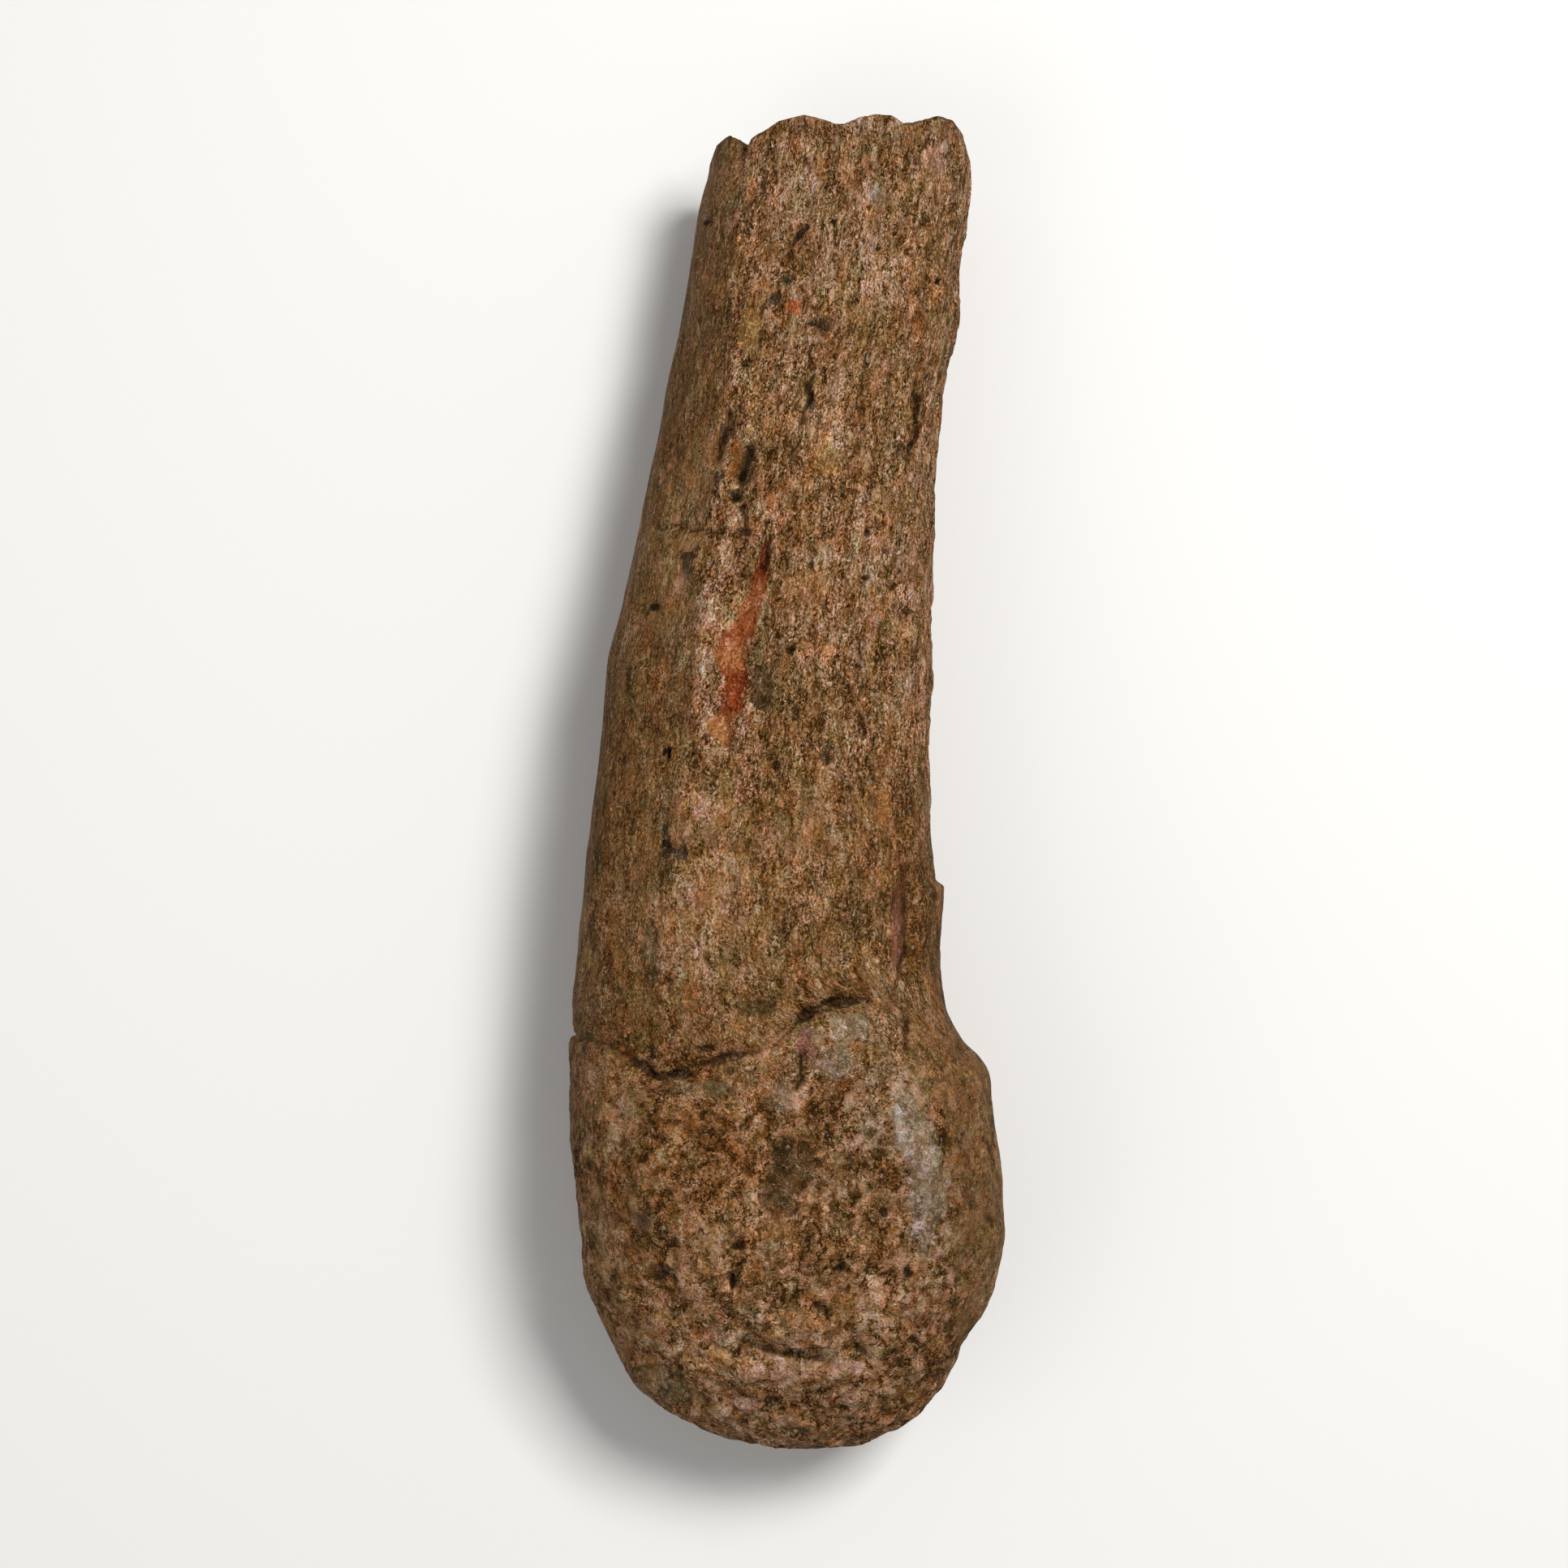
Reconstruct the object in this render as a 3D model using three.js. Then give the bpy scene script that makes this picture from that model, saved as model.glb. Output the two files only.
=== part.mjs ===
// A fossil dinosaur limb bone: most of the shaft, snapped across its upper end, and the knuckle at
// its lower end. One piece of mineralised bone, lying on its back. Millimetres, +Z up. The origin is
// on the surface it lies on, under the middle of the bone; +Y runs from the knuckle to the break.

import * as THREE from 'three';
import { ImprovedNoise } from 'three/addons/math/ImprovedNoise.js';

// ---- driving dimensions -------------------------------------------------------------------------

// The bone in cross-section, from the break to the knuckle's tip: where its left and right sides
// lie, and how high its upper and under sides lie. The last row is the tip itself.
const SECTIONS = [
  { y: 113, left: -13.9, right: 33.5, upper: 40.5, under: -1.0 },
  { y: 103, left: -15.9, right: 32.8, upper: 41.5, under: -1.2 },
  { y: 92, left: -17.6, right: 31.5, upper: 42.5, under: -0.1 },
  { y: 81, left: -19.4, right: 31.1, upper: 43.5, under: 1.5 },
  { y: 70, left: -21.6, right: 28.7, upper: 44.5, under: 3.2 },
  { y: 58, left: -23.7, right: 27.1, upper: 45.5, under: 4.8 },
  { y: 46, left: -26.1, right: 26.7, upper: 46.5, under: 6.2 },
  { y: 33, left: -29.1, right: 26.3, upper: 47.5, under: 7.2 },
  { y: 20, left: -32.0, right: 26.1, upper: 48.5, under: 7.9 },
  { y: 7, left: -33.5, right: 25.5, upper: 49.5, under: 8.2 },
  { y: -6, left: -35.2, right: 26.3, upper: 50.5, under: 8.0 },
  { y: -17, left: -36.4, right: 27.0, upper: 51.5, under: 7.4 },
  { y: -30, left: -37.4, right: 27.1, upper: 52.3, under: 6.2 },
  { y: -40, left: -37.9, right: 28.4, upper: 53.0, under: 4.8 },
  { y: -43.3, left: -38.0, right: 29.8, upper: 53.3, under: 4.2 },
  { y: -46, left: -38.1, right: 31.8, upper: 53.6, under: 3.6 },
  { y: -51, left: -38.3, right: 35.5, upper: 54.2, under: 2.6 },
  { y: -57, left: -38.8, right: 36.8, upper: 55.0, under: 1.4 },
  { y: -65, left: -39.0, right: 38.0, upper: 55.8, under: 0.3 },
  { y: -74, left: -38.4, right: 38.9, upper: 55.8, under: -0.6 },
  { y: -81, left: -37.7, right: 39.5, upper: 55.0, under: -1.0 },
  { y: -88, left: -37.0, right: 38.1, upper: 53.3, under: -0.5 },
  { y: -95, left: -34.7, right: 36.1, upper: 50.6, under: 1.0 },
  { y: -102, left: -31.5, right: 32.3, upper: 47.0, under: 3.8 },
  { y: -109, left: -27.1, right: 28.3, upper: 42.6, under: 8.0 },
  { y: -114.5, left: -18.6, right: 23.6, upper: 37.8, under: 13.6 },
  { y: -118.2, left: -10.2, right: 17.2, upper: 33.2, under: 19.0 },
  { y: -119.6, left: -4.6, right: 13.0, upper: 30.0, under: 22.4 },
  { y: -120, left: 4.5, right: 4.5, upper: 26.5, under: 26.5 },
];

// The broken rim, from the left side to the right: how far along Y it reaches, above and below.
const RIM = {
  upper: [
    [-14.0, 111.2], [-12.4, 114.2], [-10.4, 115.5], [-7.6, 113.4], [-4.8, 115.5], [-1.4, 117.0],
    [3.3, 118.0], [6.4, 117.2], [9.8, 116.0], [13.2, 117.5], [17.0, 118.0], [19.2, 117.7],
    [21.8, 116.0], [24.5, 117.3], [27.2, 118.4], [29.8, 118.0], [31.6, 116.2], [33.6, 111.4],
  ],
  under: [
    [-14.0, 111.2], [-9.5, 107.6], [-2.0, 110.2], [5.0, 106.4], [13.0, 109.2], [20.0, 105.8],
    [27.0, 109.6], [33.6, 111.4],
  ],
  reach: 16, // how far down the shaft the rim's ups and downs are felt
};
const BREAK = {
  cortex: 5.5, // thickness of the dense outer bone
  hollow: 5.5, // how deep the spongy middle is broken out
  roughness: 1.1,
};

// The mended fracture that goes round the bone above the knuckle, and how deep its groove is at each
// place. It wanders to either side of its level, and the surface steps up across it.
const FRACTURE = {
  level: -46,
  reach: 16,
  width: 0.9,
  step: 0.6,
  stepReach: 7,
  upper: [
    [-38.4, -45.5, 0.6], [-31.9, -46.2, 0.8], [-28.2, -47.9, 1.0], [-22.1, -51.9, 1.8],
    [-18.8, -51.0, 2.4], [-15.3, -50.0, 1.8], [-8.9, -47.7, 1.0], [-2.5, -46.3, 1.0],
    [-0.4, -43.8, 1.2], [4.5, -40.0, 1.6], [8.8, -38.7, 2.6], [13.0, -37.3, 2.6],
    [15.9, -38.7, 1.0], [19.5, -42.5, 0], [32.0, -46.5, 0],
  ],
  under: [
    [-38.4, -45.5, 0.6], [-24.0, -43.0, 0.9], [-9.0, -48.0, 0.8], [8.0, -43.5, 0.9],
    [22.0, -47.5, 0.6], [32.0, -46.5, 0],
  ],
};

// A flange of bone along the right side. It starts with a sharp step, and sinks into the knuckle.
const FLANGE = { inside: 21.5, top: -19.2, bottom: -44, edge: 1.6, height: 1.5 };

// Swellings, and hollows where the height is negative: a place in plan, radii across and along the
// bone, and a height.
const SWELLINGS = {
  upper: [
    { what: 'boss below the fracture', x: 10.3, y: -46.3, across: 6.4, along: 5.6, height: 2.2 },
    { what: 'ridge beside the hollow', x: 22.5, y: -66, across: 5, along: 12.5, height: 2.6 },
    { what: 'left knuckle', x: -23.5, y: -65, across: 7, along: 15, height: 1.8 },
    { what: 'hollow between the knuckles', x: 1.5, y: -67, across: 12, along: 12, height: -3.2 },
    { what: 'hollow in the fracture\'s corner', x: -23, y: -43.5, across: 6, along: 7, height: -1.6 },
    { what: 'lump above the lip', x: 4.5, y: -95.5, across: 6.5, along: 4, height: 1.6 },
    { what: 'lip', x: 2, y: -104, across: 15, along: 3.4, height: 1.2 },
    { what: 'spalled rim', x: 12, y: 112, across: 11, along: 6, height: -1.5 },
    { what: 'right corner of the rim', x: 27, y: 110, across: 4, along: 8, height: 0.9 },
    { what: 'hollow beside the stain', x: -3.5, y: 17.5, across: 5, along: 8, height: -1.4 },
    { what: 'swelling left of the stain', x: -15, y: 24, across: 5, along: 14, height: 1.0 },
    { what: 'crest of the shaft', x: -7, y: -24, across: 9, along: 18, height: 1.2 },
  ],
  under: [
    { what: 'hollow above the knuckles', x: -3, y: -40, across: 14, along: 14, height: -3.2 },
    { what: 'left knuckle', x: -19, y: -79, across: 12, along: 15, height: 4.2 },
    { what: 'right knuckle', x: 19, y: -79, across: 12, along: 15, height: 3.6 },
  ],
};

// Crests, and grooves where the height is negative: a line in plan, the width across it and a height.
const LINES = {
  upper: [
    {
      what: 'edge between the front and the left side',
      path: [[-7.6, 106], [-9, 81], [-10.4, 58], [-13.8, 37], [-15, 14], [-18.2, -5], [-21.6, -50]],
      width: 4.2, height: 1.5,
    },
    { what: 'left trench', path: [[-9.2, 68], [-11.2, 60], [-11.8, 51]], width: 1.8, height: -1.8 },
    {
      what: 'trench beside the flake',
      path: [[-6.1, 60], [-7.6, 51.7], [-5.7, 45.3], [-3.6, 40]],
      width: 1.8, height: -2.0,
    },
    {
      what: 'flange\'s groove',
      path: [[20.8, -17], [20.9, -26], [20.6, -32.6], [18.8, -37.5]],
      width: 1.7, height: -1.3,
    },
    {
      what: 'groove above the lip',
      path: [[-9.5, -98.5], [-2.6, -99.3], [8.1, -101.3], [13.1, -99.6], [17.8, -103]],
      width: 1.7, height: -1.9,
    },
  ],
  under: [
    { what: 'groove between the knuckles', path: [[-1, -58], [0, -85], [2, -110]], width: 9, height: -5.5 },
    {
      what: 'muscle scar',
      path: [[3, 78], [-4, 40], [-8, 5], [-15, -22]],
      width: 4.5, height: 2.0,
    },
  ],
};

// Unevenness all over: the lumps' size, and their height on the shaft and on the knuckle.
const LUMPS = [
  { size: 17, shaft: 0.5, knuckle: 1.1 },
  { size: 7, shaft: 0.35, knuckle: 0.8 },
];
const KNUCKLE = { from: -35, full: -65 };

// ---- mesh density -------------------------------------------------------------------------------

const COLUMNS = 56;
const UPPER_CROWDING = 0.3; // columns stand this much closer on the upper side, and wider below
const ROWS = { spacing: 4.2, fine: 1.8 };
const FINE_BANDS = [
  { y: 113, reach: 6 },
  { y: -18, reach: 4 },
  { y: -46, reach: 8 },
  { y: -101, reach: 5 },
];
const BREAK_ROWS = [0.1, 0.28, 0.42, 0.58, 0.78]; // shares of the way from the rim to the middle

// ---- small helpers ------------------------------------------------------------------------------

const { clamp, lerp, smoothstep } = THREE.MathUtils;
const perlin = new ImprovedNoise();
const TIP = SECTIONS.length - 1;
const FRACTURE_PLACE = SECTIONS.findIndex(({ y }) => y === FRACTURE.level);

const bell = (distance) => Math.exp(-distance * distance);

// A smooth curve through four neighbouring values, at share f between b and c.
function catmullRom(a, b, c, d, f) {
  const start = (c - a) / 2;
  const end = (d - b) / 2;
  return b + f * (start + f * (3 * (c - b) - 2 * start - end + f * (2 * (b - c) + start + end)));
}

// The bone's section at place s along the list. Past the tip the sides swap, so that it closes round.
function sectionAt(s) {
  const i = Math.min(Math.floor(s), TIP - 1);
  const { y, left, right, upper, under } = SECTIONS[TIP - 1];
  const swapped = { y, left: right, right: left, upper: under, under: upper };
  const rows = [SECTIONS[Math.max(i - 1, 0)], SECTIONS[i], SECTIONS[i + 1], SECTIONS[i + 2] ?? swapped];
  const section = {};
  for (const key of Object.keys(swapped)) section[key] = catmullRom(...rows.map((row) => row[key]), s - i);
  return section;
}

// The Y of a line that runs from the left side to the right, at x.
function lineAt(line, x) {
  const i = clamp(line.filter(([at]) => at <= x).length, 1, line.length - 1);
  const [x0, y0] = line[i - 1];
  const [x1, y1] = line[i];
  return lerp(y0, y1, clamp((x - x0) / (x1 - x0), 0, 1));
}

// The nearest place of a path in plan: the distance to it, and its place counted in the path's points.
function nearest(path, x, y) {
  let best = { distance: Infinity, place: 0 };
  path.slice(1).forEach(([x1, y1], i) => {
    const [x0, y0] = path[i];
    const dx = x1 - x0;
    const dy = y1 - y0;
    const share = clamp(((x - x0) * dx + (y - y0) * dy) / (dx * dx + dy * dy), 0, 1);
    const distance = Math.hypot(x - x0 - share * dx, y - y0 - share * dy);
    if (distance < best.distance) best = { distance, place: i + share };
  });
  return best;
}

// ---- the relief, added along the surface's normal -----------------------------------------------

function swellingRelief(swellings, { x, y }) {
  return swellings.reduce(
    (sum, at) => sum + at.height * bell(Math.hypot((x - at.x) / at.across, (y - at.y) / at.along)),
    0,
  );
}

function lineRelief(lines, { x, y }) {
  return lines.reduce((sum, { path, width, height }) => {
    const { distance, place } = nearest(path, x, y);
    const end = Math.min(place, path.length - 1 - place) / (path.length - 1);
    return sum + height * smoothstep(end, -0.05, 0.15) * bell(distance / width);
  }, 0);
}

function fractureRelief(path, { x, y }) {
  const { distance, place } = nearest(path, x, y);
  const i = Math.min(Math.floor(place), path.length - 2);
  const depth = lerp(path[i][2], path[i + 1][2], place - i);
  const below = smoothstep(lineAt(path, x) - y, 0, FRACTURE.width) * Math.min(depth, 1);
  const step = FRACTURE.step * below * bell(distance / FRACTURE.stepReach);
  return step - depth * bell(distance / FRACTURE.width);
}

function flangeRelief({ x, y }) {
  const step = smoothstep(FLANGE.top - y, -FLANGE.edge, 0);
  const taper = smoothstep(y, FLANGE.bottom, FLANGE.top);
  return FLANGE.height * step * taper * smoothstep(x, FLANGE.inside, FLANGE.inside + 2);
}

function lumpRelief({ x, y, z }) {
  const onKnuckle = smoothstep(-y, -KNUCKLE.from, -KNUCKLE.full);
  return LUMPS.reduce((sum, { size, shaft, knuckle }) => {
    const noise = perlin.noise(x / size, (0.6 * y) / size, z / size);
    return sum + noise * lerp(shaft, knuckle, onKnuckle);
  }, 0);
}

function relief(point, normal) {
  let height = flangeRelief(point) + lumpRelief(point);
  for (const [side, facing] of [['upper', normal.z], ['under', -normal.z]]) {
    height += smoothstep(facing, 0, 0.5) * swellingRelief(SWELLINGS[side], point);
    height += smoothstep(facing, 0, 0.5) * lineRelief(LINES[side], point);
    height += smoothstep(facing, -0.3, 0) * fractureRelief(FRACTURE[side], point);
  }
  return height;
}

// ---- the bone before its relief: rings of points from the break's middle to the knuckle's tip ----

// Places of rings from one place of the list of sections to another, closer together in fine bands.
function spread(from, to) {
  const steps = 600;
  const at = (i) => lerp(from, to, i / steps);
  const counted = [0];
  for (let i = 1; i <= steps; i++) {
    const before = sectionAt(at(i - 1));
    const here = sectionAt(at(i));
    const fine = Math.max(...FINE_BANDS.map((band) => bell((here.y - band.y) / band.reach)));
    const length = Math.hypot(here.y - before.y, here.upper - before.upper);
    counted.push(counted[i - 1] + length / lerp(ROWS.spacing, ROWS.fine, fine));
  }
  const rows = Math.round(counted[steps]);
  const place = (row) => at(counted.findIndex((count) => count >= (row / rows) * counted[steps]));
  return [...Array.from({ length: rows }, (_, row) => place(row)), to];
}

// One ring lies along the fracture, and one close by on each side of it.
function ringPlaces() {
  const beside = 0.2;
  return [
    ...spread(0, FRACTURE_PLACE - beside),
    FRACTURE_PLACE,
    ...spread(FRACTURE_PLACE + beside, TIP).slice(0, -1),
  ];
}

// One point of the ring at place s: an oval between the sides, slightly squared, which follows the
// broken rim near the break and the fracture near that.
function ringPoint(s, angle) {
  const { y, left, right, upper, under } = sectionAt(s);
  const squared = (v) => Math.sign(v) * Math.abs(v) ** 0.9;
  const x = lerp(left, right, (1 + squared(Math.cos(angle))) / 2);
  const z = lerp(under, upper, (1 + squared(Math.sin(angle))) / 2);
  const side = Math.sin(angle) >= 0 ? 'upper' : 'under';
  const broken = SECTIONS[0].y;
  const nearRim = clamp(1 - (broken - y) / RIM.reach, 0, 1) ** 2;
  const nearFracture = 1 - smoothstep(Math.abs(y - FRACTURE.level), 0, FRACTURE.reach);
  const toRim = nearRim * (lineAt(RIM[side], x) - broken);
  const toFracture = nearFracture * (lineAt(FRACTURE[side], x) - FRACTURE.level);
  return new THREE.Vector3(x, y + toRim + toFracture, z);
}

// A point of the broken face, a share of the way from the rim's point to the middle.
function breakPoint(rimPoint, middle, share) {
  const point = rimPoint.clone().lerp(middle, share);
  const dense = BREAK.cortex / rimPoint.distanceTo(middle);
  const level = lerp(rimPoint.y, middle.y + BREAK.hollow, smoothstep(share, 0, 1));
  point.y = level - BREAK.hollow * smoothstep(share, dense, dense + 0.25);
  point.y += BREAK.roughness * perlin.noise(point.x / 3.5, point.z / 3.5, 7.5);
  return point;
}

function boneRings() {
  const angles = Array.from({ length: COLUMNS }, (_, i) => {
    const even = (i / COLUMNS) * 2 * Math.PI;
    return even + UPPER_CROWDING * Math.cos(even);
  });
  const rings = ringPlaces().map((s) => angles.map((angle) => ringPoint(s, angle)));
  const [rim] = rings;
  const middle = new THREE.Vector3();
  rim.forEach((point) => middle.add(point));
  middle.divideScalar(COLUMNS);
  middle.y = SECTIONS[0].y - BREAK.hollow;
  const face = BREAK_ROWS.map((share) => rim.map((point) => breakPoint(point, middle, share)));
  return { rings: [...face.reverse(), ...rings], middle, tip: ringPoint(TIP, 0) };
}

// ---- the solid ----------------------------------------------------------------------------------

// A closed surface over the rings, with a point at each end.
function loft(rings, first, last) {
  const points = [first, ...rings.flat(), last];
  const columns = rings[0].length;
  const at = (row, column) => 1 + row * columns + (column % columns);
  const index = [];
  for (let column = 0; column < columns; column++) {
    index.push(0, at(0, column + 1), at(0, column));
    for (let row = 0; row + 1 < rings.length; row++) {
      const [a, b] = [at(row, column), at(row, column + 1)];
      const [c, d] = [at(row + 1, column), at(row + 1, column + 1)];
      index.push(a, b, c, b, d, c);
    }
    index.push(points.length - 1, at(rings.length - 1, column), at(rings.length - 1, column + 1));
  }
  const geometry = new THREE.BufferGeometry().setFromPoints(points).setIndex(index);
  geometry.computeVertexNormals();
  return geometry;
}

// Moves every point along its normal by the relief. What would reach below the surface that the bone
// lies on is worn flat there.
function carve(geometry) {
  const { position, normal } = geometry.attributes;
  const point = new THREE.Vector3();
  const direction = new THREE.Vector3();
  for (let i = 0; i < position.count; i++) {
    point.fromBufferAttribute(position, i);
    direction.fromBufferAttribute(normal, i);
    point.addScaledVector(direction, relief(point, direction));
    position.setXYZ(i, point.x, point.y, Math.max(point.z, 0));
  }
  geometry.computeVertexNormals();
  return geometry;
}

// Moves the bone so that the origin is under its middle.
function centre(geometry) {
  geometry.computeBoundingBox();
  const middle = geometry.boundingBox.getCenter(new THREE.Vector3());
  return geometry.translate(-middle.x, -middle.y, 0);
}

function makeBone() {
  const { rings, middle, tip } = boneRings();
  const fossil = new THREE.MeshStandardMaterial({ color: 0x8a6a4a, roughness: 0.75, metalness: 0 });
  const bone = new THREE.Mesh(centre(carve(loft(rings, middle, tip))), fossil);
  bone.name = 'bone';
  return bone;
}

const part = new THREE.Group();
part.add(makeBone());

export default part;
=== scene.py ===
"""A fossil dinosaur limb bone, for Blender 4.5: its skin, its paint, and the studio round it.

The skin is one closed surface of rings, over the same sections as the solid that it stands for. Its
large forms are that solid's; the finer ones, down to about a millimetre, are made here, and what is
finer still is in the material. The bone's own measures are in millimetres, in the frame that it had
before it was centred: +X to its right, +Y towards the broken end, +Z away from the floor.
"""

import math

import bpy
import numpy as np
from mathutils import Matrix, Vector, noise


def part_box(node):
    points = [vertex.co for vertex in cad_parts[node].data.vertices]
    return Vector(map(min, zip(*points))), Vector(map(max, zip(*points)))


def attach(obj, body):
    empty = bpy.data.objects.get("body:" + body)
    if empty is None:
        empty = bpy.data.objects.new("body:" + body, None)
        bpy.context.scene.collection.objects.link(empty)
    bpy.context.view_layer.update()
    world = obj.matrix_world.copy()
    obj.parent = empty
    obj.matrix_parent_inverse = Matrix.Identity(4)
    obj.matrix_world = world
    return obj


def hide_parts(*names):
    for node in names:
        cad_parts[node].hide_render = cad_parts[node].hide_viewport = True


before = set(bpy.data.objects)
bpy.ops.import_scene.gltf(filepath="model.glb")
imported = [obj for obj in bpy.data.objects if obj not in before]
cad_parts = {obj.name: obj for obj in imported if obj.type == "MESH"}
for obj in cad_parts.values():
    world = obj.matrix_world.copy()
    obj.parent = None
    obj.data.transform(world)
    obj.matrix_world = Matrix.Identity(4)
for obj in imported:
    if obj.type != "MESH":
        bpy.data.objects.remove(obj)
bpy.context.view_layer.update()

MM = 0.001

# ---- the large forms ----------------------------------------------------------------------------

# The bone in cross-section, from the break to the knuckle's tip: y, and where its left, right, upper
# and under sides lie.
SECTIONS = np.array([
    (113, -13.9, 33.5, 40.5, -1.0), (103, -15.9, 32.8, 41.5, -1.2), (92, -17.6, 31.5, 42.5, -0.1),
    (81, -19.4, 31.1, 43.5, 1.5), (70, -21.6, 28.7, 44.5, 3.2), (58, -23.7, 27.1, 45.5, 4.8),
    (46, -26.1, 26.7, 46.5, 6.2), (33, -29.1, 26.3, 47.5, 7.2), (20, -32.0, 26.1, 48.5, 7.9),
    (7, -33.5, 25.5, 49.5, 8.2), (-6, -35.2, 26.3, 50.5, 8.0), (-17, -36.4, 27.0, 51.5, 7.4),
    (-30, -37.4, 27.1, 52.3, 6.2), (-40, -37.9, 28.4, 53.0, 4.8), (-43.3, -38.0, 29.8, 53.3, 4.2),
    (-46, -38.1, 31.8, 53.6, 3.6), (-51, -38.3, 35.5, 54.2, 2.6), (-57, -38.8, 36.8, 55.0, 1.4),
    (-65, -39.0, 38.0, 55.8, 0.3), (-74, -38.4, 38.9, 55.8, -0.6), (-81, -37.7, 39.5, 55.0, -1.0),
    (-88, -37.0, 38.1, 53.3, -0.5), (-95, -34.7, 36.1, 50.6, 1.0), (-102, -31.5, 32.3, 47.0, 3.8),
    (-109, -27.1, 28.3, 42.6, 8.0), (-114.5, -18.6, 23.6, 37.8, 13.6),
    (-118.2, -10.2, 17.2, 33.2, 19.0), (-119.6, -4.6, 13.0, 30.0, 22.4), (-120, 4.5, 4.5, 26.5, 26.5),
])
TIP = len(SECTIONS) - 1
BROKEN = SECTIONS[0][0]

# The broken rim, from the left side to the right: how far along Y it reaches, above and below.
RIM = {
    "upper": [
        (-14.0, 111.2), (-12.4, 114.2), (-10, 115.5), (-8.1, 110), (-6, 114.2), (-1.4, 117.0),
        (3.3, 118.0), (6.4, 117.2), (9.8, 116.0), (13.2, 117.5), (17.0, 118.0), (19.2, 117.7),
        (21.8, 116.0), (24.5, 117.3), (27.2, 118.4), (29.8, 118.0), (31.6, 116.2), (33.6, 111.4),
    ],
    "under": [
        (-14.0, 111.2), (-9.5, 107.6), (-2.0, 110.2), (5.0, 106.4), (13.0, 109.2), (20.0, 105.8),
        (27.0, 109.6), (33.6, 111.4),
    ],
}
RIM_REACH = 16
NOTCH_COLUMNS = 16  # how soon the rim's notches fade out on the broken face, along it and inwards
NOTCH_SHARE = 0.2
CORTEX = 5.5
HOLLOW = 5.5
RIM_RELIEF = 0.3  # the share of the relief that is left on the rim's sharp edge

# The mended fracture that goes round the bone: x, y, and how deep its groove is there.
FRACTURE = {
    "upper": [
        (-38.4, -45.5, 0.6), (-31.9, -46.2, 0.8), (-28.2, -47.9, 1.0), (-22.1, -51.9, 1.8),
        (-18.8, -51.0, 2.4), (-15.3, -50.0, 1.8), (-8.9, -47.7, 1.0), (-2.5, -46.3, 1.0),
        (-0.4, -43.8, 1.2), (4.5, -40.0, 1.6), (8.8, -38.7, 2.8), (12.4, -37.4, 2.6),
        (15.9, -38.7, 0.4), (19.5, -42.5, 0), (32.0, -46.5, 0),
    ],
    "under": [
        (-38.4, -45.5, 0.6), (-24.0, -43.0, 0.9), (-9.0, -48.0, 0.8), (8.0, -43.5, 0.9),
        (22.0, -47.5, 0.6), (32.0, -46.5, 0),
    ],
}
FRACTURE_LEVEL = -46
FRACTURE_PLACE = float(np.flatnonzero(SECTIONS[:, 0] == FRACTURE_LEVEL)[0])
FRACTURE_REACH = 16
FRACTURE_WIDTH = 0.9
FRACTURE_STEP = 0.6
STEP_REACH = 7

FLANGE = {"inside": 21.5, "top": -19.2, "bottom": -44, "edge": 1.6, "height": 1.5}

# Swellings, and hollows where the height is negative: x, y, radii across and along, height.
SWELLINGS = {
    "upper": [
        (10.3, -46.3, 6.4, 5.6, 2.2),  # boss below the fracture
        (22.5, -66, 5, 12.5, 2.6),  # ridge beside the hollow
        (-23.5, -65, 7, 15, 1.8),  # left knuckle
        (1.5, -67, 12, 12, -3.2),  # hollow between the knuckles
        (-23, -43.5, 6, 7, -1.6),  # hollow in the fracture's corner
        (4.5, -95.5, 6.5, 4, 1.6),  # lump above the lip
        (2, -104, 15, 3.4, 1.2),  # lip
        (12, 112, 11, 6, -1.5),  # spalled rim
        (27, 110, 4, 8, 0.9),  # right corner of the rim
        (-3.5, 17.5, 5, 8, -1.4),  # hollow beside the stain
        (-15, 24, 5, 14, 1.0),  # swelling left of the stain
        (-7, -24, 9, 18, 1.2),  # crest of the shaft
    ],
    "under": [
        (-3, -40, 14, 14, -3.2),  # hollow above the knuckles
        (-19, -79, 12, 15, 4.2),  # left knuckle
        (19, -79, 12, 15, 3.6),  # right knuckle
    ],
}

# Crests, and grooves where the height is negative: a path in plan, a width and a height.
LEFT_EDGE = [
    (-7.6, 106), (-9, 81), (-10.4, 58), (-13.8, 37), (-15, 14), (-18.2, -5), (-21.6, -50),
]
LINES = {
    "upper": [
        (LEFT_EDGE, 4.2, 1.5),
        ([(-9.2, 66.5), (-10.2, 61.8), (-11.2, 59), (-11.9, 55)], 1.6, -1.4),
        ([(-5.3, 60.2), (-6.1, 57.4), (-7.3, 54.6), (-8.1, 51.2)], 1.7, -1.4),
        ([(-8.2, 49), (-7.2, 45.5), (-6.5, 42)], 1.4, -1.1),
        ([(20.8, -17), (20.9, -26), (20.8, -29.5), (19.2, -34.5)], 1.7, -1.2),
        ([(-8.5, -98.6), (-4.7, -99.2), (-1.8, -100.1), (1, -100.8), (4.6, -101.5), (8.4, -101.8)],
         1.5, -1.7),
    ],
    "under": [
        ([(-1, -58), (0, -85), (2, -110)], 9, -5.5),
        ([(3, 78), (-4, 40), (-8, 5), (-15, -22)], 4.5, 2.0),
    ],
}

LUMPS = [(17, 0.5, 1.1), (7, 0.35, 0.8)]  # size, height on the shaft, height on the knuckle

# ---- the finer forms ----------------------------------------------------------------------------

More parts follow.
